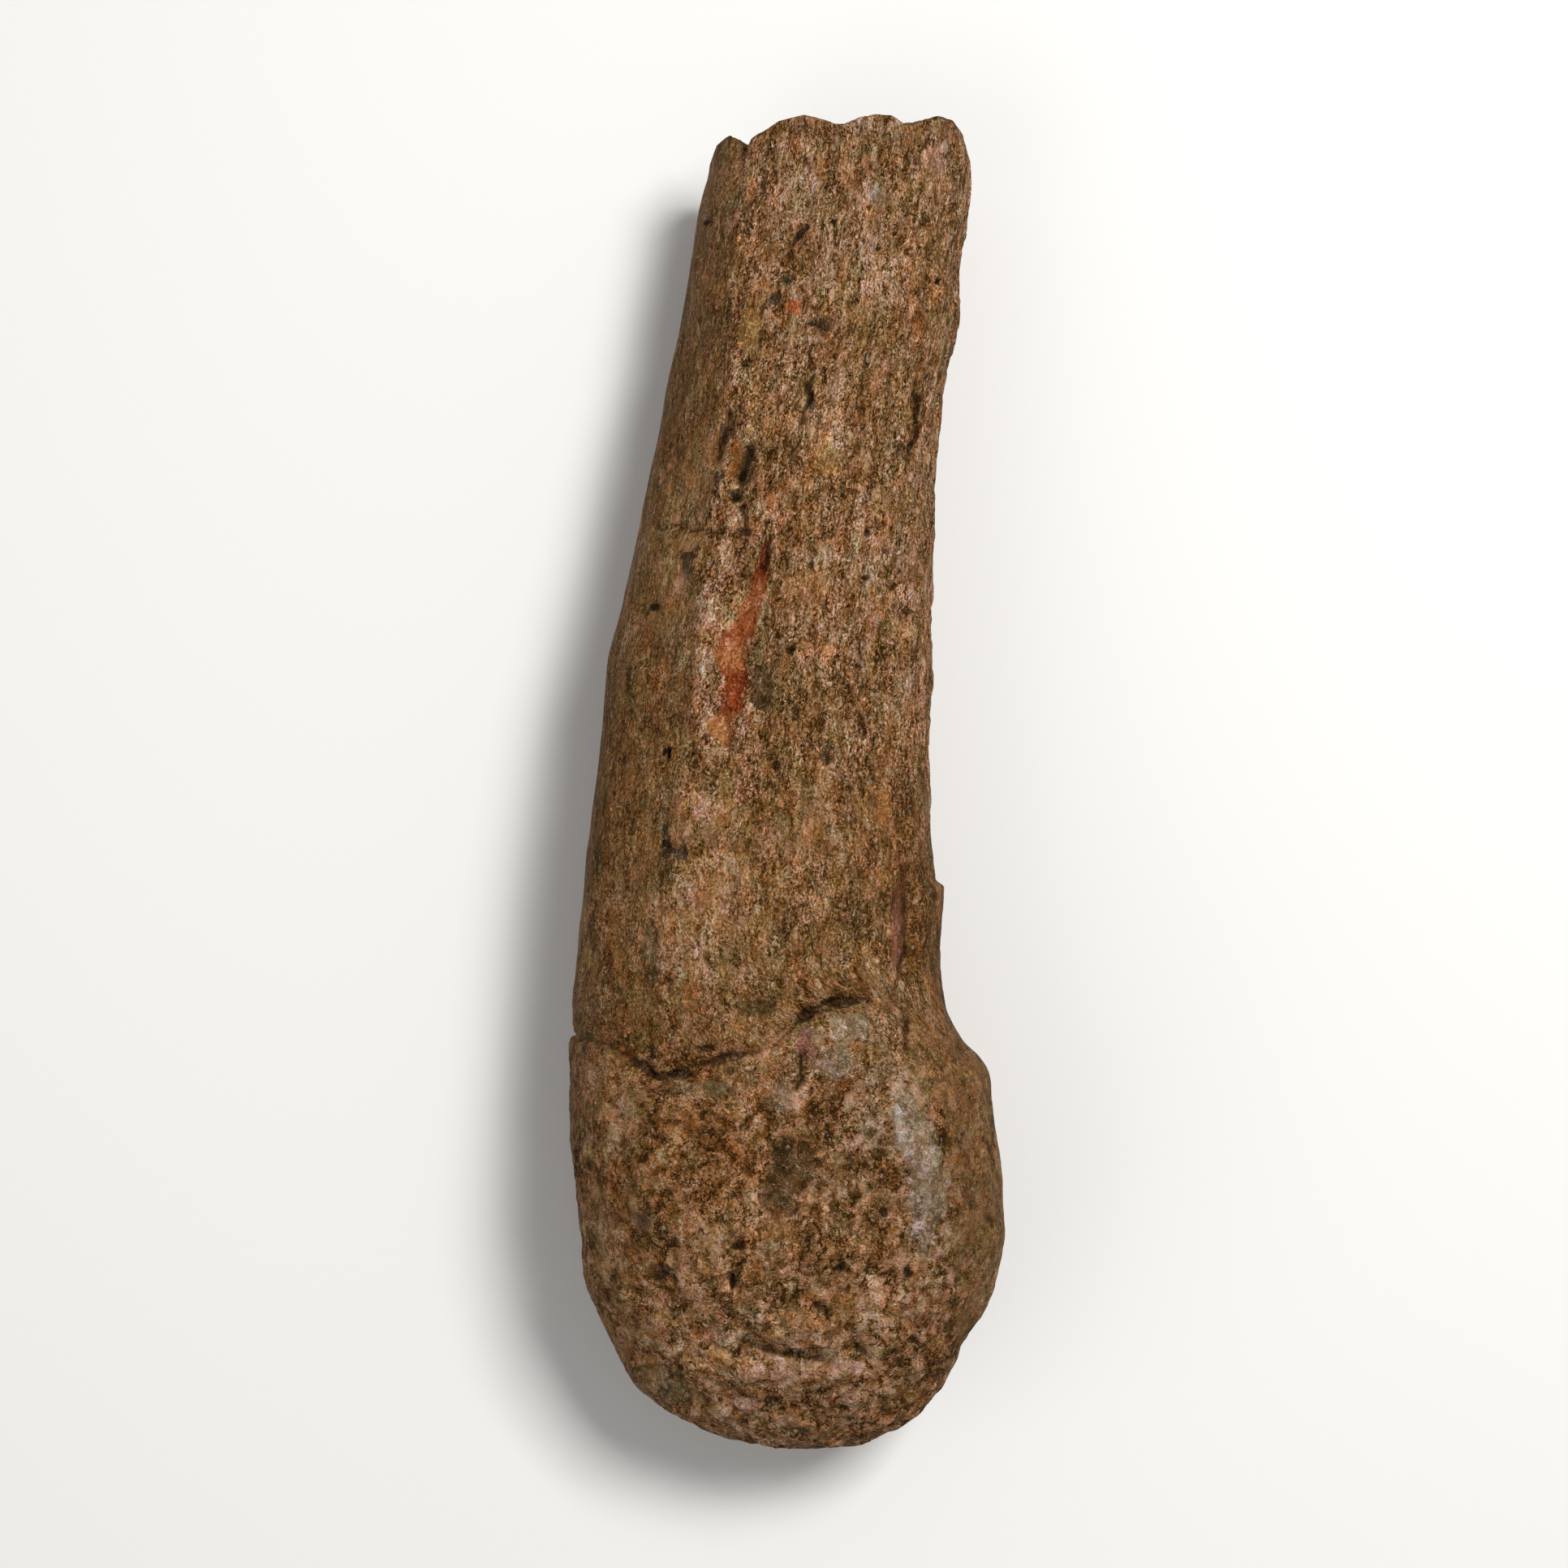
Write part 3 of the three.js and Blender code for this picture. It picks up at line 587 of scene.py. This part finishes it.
def fine_relief(points, straight, normals, sound, face):
    """Fibres, flakes and crumbs, then pits and cracks."""
    knuckle = on_knuckle(points[..., 1])
    shaft = (1 - knuckle) * (1 - face)
    worn = 1 - sound
    fibres = perlin(straight, (1.5, 9, 1.5)) + 0.6 * perlin(straight + 90, (0.9, 4.5, 0.9))
    flakes = smoothstep(perlin(straight + 20, (3.4, 9, 3.4)), -0.06, 0.06)
    chips = smoothstep(perlin(straight + 60, (1.8, 4.2, 1.8)), -0.1, 0.1)
    height = shaft * (0.14 * fibres + worn * (0.34 * flakes + 0.2 * chips))
    crumbs = np.abs(perlin(points + 10, 4.6)) + 0.7 * np.abs(perlin(points + 70, 2.4))
    crumbs = crumbs + 0.4 * np.abs(perlin(points + 30, 1.4))
    crumbly = knuckle * lerp(1, 0.3, sound) * lerp(0.5, 1, smoothstep(normals[..., 2], 0, 0.5))
    height = height + 1.2 * (crumbs - 0.32) * (crumbly + 0.25 * shaft * worn)
    sponge = np.minimum(cells(points, 2.6), 0.35) + 0.5 * np.minimum(cells(points + 50, 1.5), 0.35)
    height = height + face * (3.2 * sponge + 0.8 * perlin(points, 6) - 0.9)
    upper = smoothstep(normals[..., 2], 0, 0.4) * (1 - face)
    x, y = wiggled(points)
    for path, width, depth in CRACKS:
        distance, place = nearest(path, x, y)
        end = np.minimum(place, len(path) - 1 - place) / (len(path) - 1)
        height = height - upper * depth * smoothstep(end, -0.1, 0.2) * bell(distance / width)
    for at, up, across, along, depth in PITS:
        height = height - upper * depth * bell(np.hypot((x - at) / across, (y - up) / along) ** 1.5)
    return height - FINE_RISE


def wiggled(points):
    """The points' places in plan, moved a little to and fro, so that what is drawn there is uneven."""
    x = points[..., 0] + 0.8 * perlin(points + 15, 2.2)
    return x, points[..., 1] + 0.8 * perlin(points + 25, 2.2)


def crevice_places(points, upper):
    """How much each point lies in a crack, a pit or the mended fracture, 0 to 1: where the paint puts
    painted shade.
    """
    x, y = wiggled(points)
    dark = np.zeros(x.shape)
    grooves = [(path, width, -0.55 * height) for path, width, height in LINES["upper"]]
    for path, width, depth in CRACKS + grooves:
        distance, place = nearest(path, x, y)
        end = np.minimum(place, len(path) - 1 - place) / (len(path) - 1)
        here = np.clip(depth, 0, 1) * smoothstep(end, -0.1, 0.2)
        dark = np.maximum(dark, here * bell(distance / min(width, 0.8)))
    for at, up, across, along, depth in PITS:
        dark = np.maximum(dark, bell(np.hypot((x - at) / across, (y - up) / along) ** 1.5))
    distance, place = nearest(FRACTURE["upper"], x, y)
    depths = [point[2] for point in FRACTURE["upper"]]
    depth = np.clip(np.interp(place, range(len(depths)), depths) / 1.4, 0, 1.2)
    broken_up = smoothstep(perlin(points + 5, 6), -0.5, 0)
    return np.maximum(dark, depth * broken_up * bell(distance / FRACTURE_WIDTH)) * upper


def local_mean(values, rows, columns):
    """The mean of a ring grid's values over neighbours, so many rows and columns to each side."""
    padded = np.pad(values, ((rows, rows), (0, 0)), mode="edge")
    mean = sum(padded[i : i + len(values)] for i in range(2 * rows + 1)) / (2 * rows + 1)
    return sum(np.roll(mean, i, axis=1) for i in range(-columns, columns + 1)) / (2 * columns + 1)


def skin():
    """The skin's rings, its two end points, and what the paint needs to know at each point."""
    even = np.arange(COLUMNS) / COLUMNS * 2 * math.pi
    angles = (even + UPPER_CROWDING * np.cos(even))[None, :]
    body, straight = body_points(body_places(), angles)
    face, straight_face, spongy, middle = face_points(body[0], straight[0])
    points = np.concatenate([face, body])
    straight = np.concatenate([straight_face, straight])
    broken = np.zeros(points.shape[:2])
    broken[:FACE_ROWS] = spongy
    normals = grid_normals(points)
    from_rim = np.linalg.norm(points - points[FACE_ROWS], axis=-1)
    calmer = lerp(RIM_RELIEF, 1, smoothstep(from_rim, 0, 3))
    points = points + normals * (calmer * large_relief(points, normals))[..., None]
    points[..., 2] = np.maximum(points[..., 2], 0)
    normals = grid_normals(points)
    sound = smooth_strips(points, normals)
    height = calmer * fine_relief(points, straight, normals, sound, broken)
    points = points + normals * height[..., None]
    points[..., 2] = np.maximum(points[..., 2], 0)
    # The relief's height against its neighbours: the paint uses it as painted shade in the hollows and
    # painted light on the crests.
    relief_shade = height - local_mean(height, 3, 3)
    # Where cracks, pits and the fracture lie, for the painted shade in them.
    crevice_shade = crevice_places(points, smoothstep(normals[..., 2], 0, 0.4))
    return points, middle, straight, normals, sound, broken, relief_shade, crevice_shade


# ---- the paint's places -----------------------------------------------------------------------------


def linear(name):
    """A named colour as the shader counts it."""
    shares = np.array(PALETTE[name]) / 255
    return np.where(shares <= 0.04045, shares / 12.92, ((shares + 0.055) / 1.055) ** 2.4)


def patch_paint(points, normals):
    """The upper side's patches of colour: their colour against the average, and their coverage."""
    x, y = points[..., 0], points[..., 1]
    upper = smoothstep(normals[..., 2], -0.1, 0.2)
    weight = np.zeros(x.shape)
    colour = np.zeros(points.shape)
    for name, patches in PATCHES:
        for at, up, across, along, strength in patches:
            here = strength * bell(np.hypot((x - at) / across, (y - up) / along) ** 1.5) * upper
            weight = weight + here
            colour = colour + here[..., None] * linear(name) / linear("average")
    colour = colour / np.maximum(weight, 1e-6)[..., None]
    return np.concatenate([colour, np.clip(weight, 0, 1)[..., None]], axis=-1)


def zone_paint(points, normals):
    """How much lighter and how much warmer the skin is at each point, for its large zones."""
    x, y = points[..., 0], points[..., 1]
    upper = smoothstep(normals[..., 2], -0.1, 0.2)
    tone, warmth = np.zeros(x.shape), np.zeros(x.shape)
    for at, up, across, along, lift, warm in ZONES.values():
        here = bell(np.hypot((x - at) / across, (y - up) / along)) * upper
        tone, warmth = tone + lift * here, warmth + warm * here
    return np.stack([tone, warmth, 0 * x], axis=-1)


def stain_paint(points, normals):
    """How much of the red stain is at each point, and how far down it the point is, 0 to 1."""
    x, y = points[..., 0], points[..., 1]
    rows = np.array(STAIN)[::-1]
    left, right = (np.interp(y, rows[:, 0], rows[:, side]) for side in (1, 2))
    inside = np.minimum(x - left, right - x)
    inside = np.minimum(inside, np.minimum(STAIN[0][0] - y, y - STAIN[-1][0]))
    cover = smoothstep(inside, -1.7, 1.5) * smoothstep(normals[..., 2], 0, 0.3)
    down = np.clip((STAIN[0][0] - y) / (STAIN[0][0] - STAIN[-1][0]), 0, 1)
    right_edge = 1 - smoothstep(right - x, 0, 1.4)
    return np.stack([cover, down, right_edge], axis=-1)


# ---- meshes and nodes -------------------------------------------------------------------------------


def closed_mesh(name, points, first, last):
    """A closed mesh over rings of points with a point at each end, and its UV map for baking."""
    rows, columns = points.shape[:2]
    vertices = np.vstack([first, points.reshape(-1, 3), last])
    at = 1 + np.arange(rows * columns).reshape(rows, columns)
    beside = np.roll(at, -1, axis=1)
    quads = np.stack([at[:-1], beside[:-1], beside[1:], at[1:]], axis=-1).reshape(-1, 4)
    start = np.stack([np.zeros(columns, int), beside[0], at[0]], axis=-1)
    end = np.stack([np.full(columns, len(vertices) - 1), at[-1], beside[-1]], axis=-1)
    mesh = bpy.data.meshes.new(name)
    mesh.from_pydata(vertices.tolist(), [], quads.tolist() + start.tolist() + end.tolist())
    u = np.stack([np.arange(columns), np.arange(columns) + 1]) / columns
    v = 1 - (np.arange(rows) + 1) / (rows + 1)
    sides = np.broadcast_to(u[:, None, :], (2, rows, columns))
    height = np.broadcast_to(v[:, None], (rows, columns))
    corners = [(0, slice(None, -1)), (1, slice(None, -1)), (1, slice(1, None)), (0, slice(1, None))]
    quad_uv = np.stack([
        np.stack([sides[side][row], height[row]], axis=-1) for side, row in corners
    ], axis=-2)
    middle = u.mean(axis=0)
    start_uv = np.stack([
        np.stack([middle, np.ones(columns)], axis=-1),
        np.stack([u[1], height[0]], axis=-1),
        np.stack([u[0], height[0]], axis=-1),
    ], axis=-2)
    end_uv = np.stack([
        np.stack([middle, np.zeros(columns)], axis=-1),
        np.stack([u[0], height[-1]], axis=-1),
        np.stack([u[1], height[-1]], axis=-1),
    ], axis=-2)
    uv = np.concatenate([quad_uv.reshape(-1, 2), start_uv.reshape(-1, 2), end_uv.reshape(-1, 2)])
    mesh.uv_layers.new(name="OFBake").data.foreach_set("uv", uv.ravel())
    mesh.shade_smooth()
    return mesh


def add_attribute(mesh, name, kind, field, values):
    """A value at each vertex. values are the rings' values; the end points take their ring's mean."""
    per_ring = values.reshape(values.shape[0], values.shape[1], -1)
    width = per_ring.shape[-1]
    first, last = per_ring[0].mean(axis=0), per_ring[-1].mean(axis=0)
    flat = np.vstack([first, per_ring.reshape(-1, width), last])
    mesh.attributes.new(name, kind, "POINT").data.foreach_set(field, flat.ravel())


class Nodes:
    """Adds nodes to a material. An input takes a number, a tuple or another node's output."""

    def __init__(self, material):
        material.use_nodes = True
        self.tree = material.node_tree
        self.shader = self.tree.nodes["Principled BSDF"]

    def add(self, kind, inputs, output=0, **settings):
        made = self.tree.nodes.new(kind)
        for name, value in settings.items():
            setattr(made, name, value)
        self.fill(made, inputs)
        return made.outputs[output]

    def fill(self, made, inputs):
        for name, value in inputs.items():
            if isinstance(value, bpy.types.NodeSocket):
                self.tree.links.new(value, made.inputs[name])
            else:
                made.inputs[name].default_value = value

    def math(self, operation, a, b=0.0, clamp=False):
        return self.add("ShaderNodeMath", {0: a, 1: b}, operation=operation, use_clamp=clamp)

    def total(self, *terms):
        """The sum of (share, value) terms."""
        result = 0.0
        for share, value in terms:
            inputs = {0: value, 1: share, 2: result}
            result = self.add("ShaderNodeMath", inputs, operation="MULTIPLY_ADD")
        return result

    def step(self, value, low, high, start=0.0, end=1.0):
        """A smooth step from start to end, as value goes from low to high."""
        inputs = {"Value": value, "From Min": low, "From Max": high, "To Min": start, "To Max": end}
        return self.add("ShaderNodeMapRange", inputs, interpolation_type="SMOOTHSTEP")

    def mix(self, factor, a, b, blend="MIX"):
        inputs = {0: factor, 6: a, 7: b}
        return self.add("ShaderNodeMix", inputs, output=2, data_type="RGBA", blend_type=blend)

    def value_mix(self, factor, a, b):
        return self.add("ShaderNodeMix", {0: factor, 2: a, 3: b}, data_type="FLOAT")

    def parts(self, colour):
        made = self.add("ShaderNodeSeparateColor", {0: colour}).node
        return made.outputs[0], made.outputs[1], made.outputs[2]

    def tinted(self, colour, tint):
        return self.vector("MINIMUM", self.vector("MULTIPLY", colour, tint), (0.8, 0.8, 0.8))

    def coated(self, colour, tint):
        """A tint that evens the colour out too."""
        even = self.mix(0.35, colour, rgba("average"))
        return self.tinted(even, tint)

    def scaled(self, vector, scale, location=(0, 0, 0)):
        return self.add("ShaderNodeMapping", {"Vector": vector, "Scale": scale, "Location": location})

    def vector(self, operation, a, b, c=(0, 0, 0)):
        return self.add("ShaderNodeVectorMath", {0: a, 1: b, 2: c}, operation=operation)

    def noise(self, vector, size, detail=2.0, roughness=0.5, output=0):
        inputs = {"Vector": vector, "Scale": 1 / size, "Detail": detail, "Roughness": roughness}
        return self.add("ShaderNodeTexNoise", inputs, output=output)

    def cells(self, vector, size):
        inputs = {"Vector": vector, "Scale": 1 / size}
        return self.add("ShaderNodeTexVoronoi", inputs).node.outputs

    def ramp(self, value, stops):
        """Colours by name, or greys as numbers, at places along a value."""
        made = self.tree.nodes.new("ShaderNodeValToRGB")
        elements = made.color_ramp.elements
        while len(elements) < len(stops):
            elements.new(0.5)
        for element, (place, colour) in zip(elements, stops):
            element.position = place
            element.color = rgba(colour)
        self.tree.links.new(value, made.inputs["Fac"])
        return made.outputs["Color"]

    def attribute(self, name, output="Fac"):
        return self.add("ShaderNodeAttribute", {}, output=output, attribute_name=name)


def rgba(name):
    return (*linear(name).tolist(), 1)


# ---- the fossil's material --------------------------------------------------------------------------


def fossil_material():
    """Weathered, mineralised bone: fibres along the shaft, grains on the knuckle and the break, with
    painted shade in its hollows and cracks and painted highlights and glints.
    """
    material = bpy.data.materials.new("fossil_bone")
    n = Nodes(material)
    grain = n.attribute("grain", "Vector")
    sound, broken, relief_shade, crevice_shade, granular = (
        n.attribute(name) for name in ("sound", "broken", "relief_shade", "crevice_shade", "granular")
    )
    lift, warmth, _ = n.parts(n.attribute("zone", "Vector"))

    # Noises, from the finest to the broadest.
    wander = n.vector("SUBTRACT", n.noise(grain, 1.5, 2, 0.6, "Color"), (0.5, 0.5, 0.5))
    bent = n.vector("MULTIPLY_ADD", wander, (1.8, 1.8, 1.8), grain)
    swayed = n.vector("MULTIPLY_ADD", wander, (0.8, 0.8, 0.8), grain)
    fine, fine_gap, fine_light = n.parts(n.noise(bent, 0.36, 1, 0.6, "Color"))
    fibres = n.noise(n.scaled(swayed, (1, 0.4, 1)), 0.9, 3, 0.7)
    grains = n.noise(bent, 2.2, 4, 0.75)
    texture = n.value_mix(n.total((0.6, granular), (0.35, 1.0)), fibres, grains)
    patchy, hue_red, hue_warm = n.parts(
        n.noise(n.scaled(bent, (1, 0.8, 1), (5, 50, 9)), 4, 5, 0.9, "Color")
    )
    tones, calm, _ = n.parts(n.noise(n.scaled(grain, (1, 0.7, 1), (31, 7, 3)), 4.5, 3, 0.6, "Color"))
    regions = n.noise(grain, 18, 3, 0.55)
    apart = n.math("ABSOLUTE", n.math("SUBTRACT", n.noise(n.scaled(bent, (1, 0.7, 1)), 3.0, 4, 0.65), 0.5))
    creases = n.math("MULTIPLY", n.step(apart, 0.0, 0.045, 1, 0), n.step(calm, 0.38, 0.56))

    chips = n.cells(n.scaled(bent, (1, 0.6, 1), (9, 31, 44)), 1.9)
    chip, chip_tone, chip_red = n.parts(chips["Color"])
    thin = n.math("ABSOLUTE", n.math(
        "SUBTRACT", n.noise(n.scaled(swayed, (1, 0.5, 1), (4, 4, 4)), 1.3, 2, 0.6), 0.5,
    ))
    wires = n.step(thin, 0.0, 0.035, 1, 0)

    rough = n.total((-0.38, sound), (1.0, 1.0))
    busy = n.step(patchy, 0.36, 0.64, 0.55, 1.5)
    fineness = n.math("MULTIPLY", n.total((-0.65, granular), (1.0, 1.55)), busy)
    tone = n.total(
        (fineness, n.math("SUBTRACT", fine, 0.5)),
        (n.total((0.3, granular), (1.3, 1.0)), n.math("SUBTRACT", texture, 0.5)),
        (0.55, n.math("SUBTRACT", tones, 0.5)),
        (n.total((-0.2, granular), (-0.28, 1.0)), creases),
        (0.2, n.math("SUBTRACT", chip_tone, 0.5)),
        (n.total((0.12, granular), (-0.26, 1.0)), n.math("MULTIPLY", wires, busy)),
    )
    # This tone takes in painted shade in the relief's hollows and painted light on its crests.
    tone = n.total(
        (rough, tone), (0.45, regions), (0.2, relief_shade), (-0.09, sound), (1.0, lift), (0.285, 1.0),
    )
    base = n.ramp(tone, [
        (0.0, "olive black"), (0.2, "umber"), (0.4, "brown"), (0.6, "tan"), (0.8, "pale tan"),
        (1.0, "bone white"),
    ])
    warm = n.total((1.0, hue_warm), (0.45, fine_gap), (0.14, warmth), (-0.02, 1.0))
    base = n.tinted(base, n.mix(n.step(warm, 0.5, 0.95), COOL, WARM))
    red = n.total((1.0, hue_red), (0.1, chip_red), (-0.045, sound), (-0.02, 1.0))
    base = n.tinted(base, n.mix(n.step(red, 0.35, 0.65), GREENISH, REDDISH))

    ragged = n.total((1.3, n.noise(bent, 2.6, 4, 0.7)), (0.4, fine_light))
    cover = n.step(n.math("ADD", n.attribute("paint", "Alpha"), ragged), 1.36, 1.56, 0, 0.9)
    base = n.mix(cover, base, n.coated(base, n.attribute("paint", "Color")))

    stain, down, right_edge = n.parts(n.attribute("stain", "Vector"))
    reds = n.ramp(down, [
        (0.0, "maroon"), (0.08, "maroon"), (0.14, "red"), (0.21, "red-orange"), (0.3, "salmon"),
        (0.41, "red-orange"), (0.49, "salmon"), (0.58, "orange"), (0.66, "red"), (0.82, "red"),
        (0.9, "orange"),
    ])
    reds = n.mix(n.math("MULTIPLY", right_edge, 0.6), reds, rgba("maroon"))
    streaks = n.noise(n.scaled(bent, (1, 0.25, 1), (3, 8, 60)), 1.6, 3, 0.7)
    stained = n.step(n.total((1.1, stain), (1.6, streaks), (0.3, fine_light)), 1.38, 1.62, 0, 0.95)
    base = n.mix(stained, base, n.coated(base, n.vector("DIVIDE", reds, rgba("average")[:3])))

    # Painted highlights and glints: small near-white flecks where light catches the grain, fewer on the
    # smooth strips.
    painted_glints = n.cells(n.scaled(bent, (1, 0.7, 1), (70, 2, 5)), 1.5)
    kind, _, _ = n.parts(painted_glints["Color"])
    painted_glints = n.math("MULTIPLY", n.step(kind, 0.7, 0.74), n.step(painted_glints["Distance"], 0.1, 0.28, 1, 0))
    lights = n.math("MULTIPLY", n.step(fine_light, 0.6, 0.66), n.step(texture, 0.46, 0.58))
    lights = n.math("MAXIMUM", n.math("MULTIPLY", lights, 0.35), n.math("MULTIPLY", painted_glints, 0.35))
    base = n.mix(n.math("MULTIPLY", lights, rough), base, rgba("bone white"))
    # Painted shade: the relief's hollows, the cracks, pits and fracture, and the pores, darkened with the
    # shadow tint.
    pores = n.math("MULTIPLY", n.step(chip, 0.5, 0.54), n.step(chips["Distance"], 0.1, 0.24, 1, 0))
    pores = n.math("MULTIPLY", pores, n.total((-0.8, sound), (0.9, 1.0)))
    cracked = n.step(n.total((1.0, crevice_shade), (0.9, texture), (0.5, fine)), 1.03, 1.36, 0, 0.92)
    dark = n.math("MAXIMUM", n.step(relief_shade, -0.8, -0.1, 0.8, 0), n.math("MAXIMUM", pores, cracked))
    base = n.mix(dark, base, n.tinted(base, SHADOWED))
    base = n.mix(n.math("MULTIPLY", broken, 0.5), base, n.tinted(base, DUSKY))

    height = n.total((0.7, texture), (0.35, fine), (0.4, tones))
    bump = n.add("ShaderNodeBump", {"Height": height, "Strength": 1.0, "Distance": MM})
    n.fill(n.shader, {
        "Base Color": base, "Roughness": n.total((-0.15, sound), (1.0, 0.85)), "Normal": bump,
        "Specular IOR Level": 0.06,
    })
    return material


def floor_material():
    material = bpy.data.materials.new("pale_floor")
    n = Nodes(material)
    n.fill(n.shader, {"Base Color": (0.72, 0.71, 0.69, 1), "Roughness": 0.9})
    return material


# ---- the bone ---------------------------------------------------------------------------------------


def make_bone():
    points, middle, straight, normals, sound, broken, relief_shade, crevice_shade = skin()
    low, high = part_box("bone")
    shift = np.array([low.x + high.x, low.y + high.y, 0]) / 2 / MM - CENTRE
    tip = points[-1].mean(axis=0)
    mesh = closed_mesh("bone_skin", (points + shift) * MM, (middle + shift) * MM, (tip + shift) * MM)
    granular = np.maximum(on_knuckle(points[..., 1]), broken)
    add_attribute(mesh, "grain", "FLOAT_VECTOR", "vector", grain_places(straight))
    add_attribute(mesh, "sound", "FLOAT", "value", sound)
    add_attribute(mesh, "broken", "FLOAT", "value", broken)
    add_attribute(mesh, "relief_shade", "FLOAT", "value", relief_shade)
    add_attribute(mesh, "crevice_shade", "FLOAT", "value", crevice_shade)
    add_attribute(mesh, "granular", "FLOAT", "value", granular)
    add_attribute(mesh, "paint", "FLOAT_COLOR", "color", patch_paint(points, normals))
    add_attribute(mesh, "zone", "FLOAT_VECTOR", "vector", zone_paint(points, normals))
    add_attribute(mesh, "stain", "FLOAT_VECTOR", "vector", stain_paint(points, normals))
    mesh.materials.append(fossil_material())
    bone = bpy.data.objects.new("bone_skin", mesh)
    bpy.context.scene.collection.objects.link(bone)
    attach(bone, "root")
    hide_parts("bone")
    return bone


# ---- the studio -------------------------------------------------------------------------------------

CAMERA = {"place": (-0.00002, -0.00014, 0.811), "lens": 100, "sensor": 36}
LIGHTS = [  # name, place, size across, power in watts
    ("key", (0.4, 0.35, 1.0), 0.35, 13.5),
    ("fill", (-0.7, -0.4, 0.8), 0.8, 2.5),
]


def make_floor():
    side = 3
    bpy.ops.mesh.primitive_plane_add(size=side)
    floor = bpy.context.object
    floor.name = "floor"
    floor.data.materials.append(floor_material())


def make_light(name, place, size, power):
    light = bpy.data.lights.new(name, "AREA")
    light.size = size
    light.energy = power
    lamp = bpy.data.objects.new(name, light)
    lamp.location = place
    lamp.rotation_euler = (-Vector(place)).to_track_quat("-Z", "Y").to_euler()
    bpy.context.scene.collection.objects.link(lamp)


def make_studio():
    make_floor()
    for light in LIGHTS:
        make_light(*light)
    scene = bpy.context.scene
    scene.view_settings.view_transform = "Standard"
    scene.world = bpy.data.worlds.new("studio")
    scene.world.use_nodes = True
    sky = scene.world.node_tree.nodes["Background"]
    sky.inputs["Color"].default_value = (1, 1, 1, 1)
    sky.inputs["Strength"].default_value = 0.32
    lens = bpy.data.cameras.new("camera")
    lens.lens = CAMERA["lens"]
    lens.sensor_width = CAMERA["sensor"]
    camera = bpy.data.objects.new("camera", lens)
    camera.location = CAMERA["place"]
    scene.collection.objects.link(camera)
    scene.camera = camera


make_bone()
make_studio()
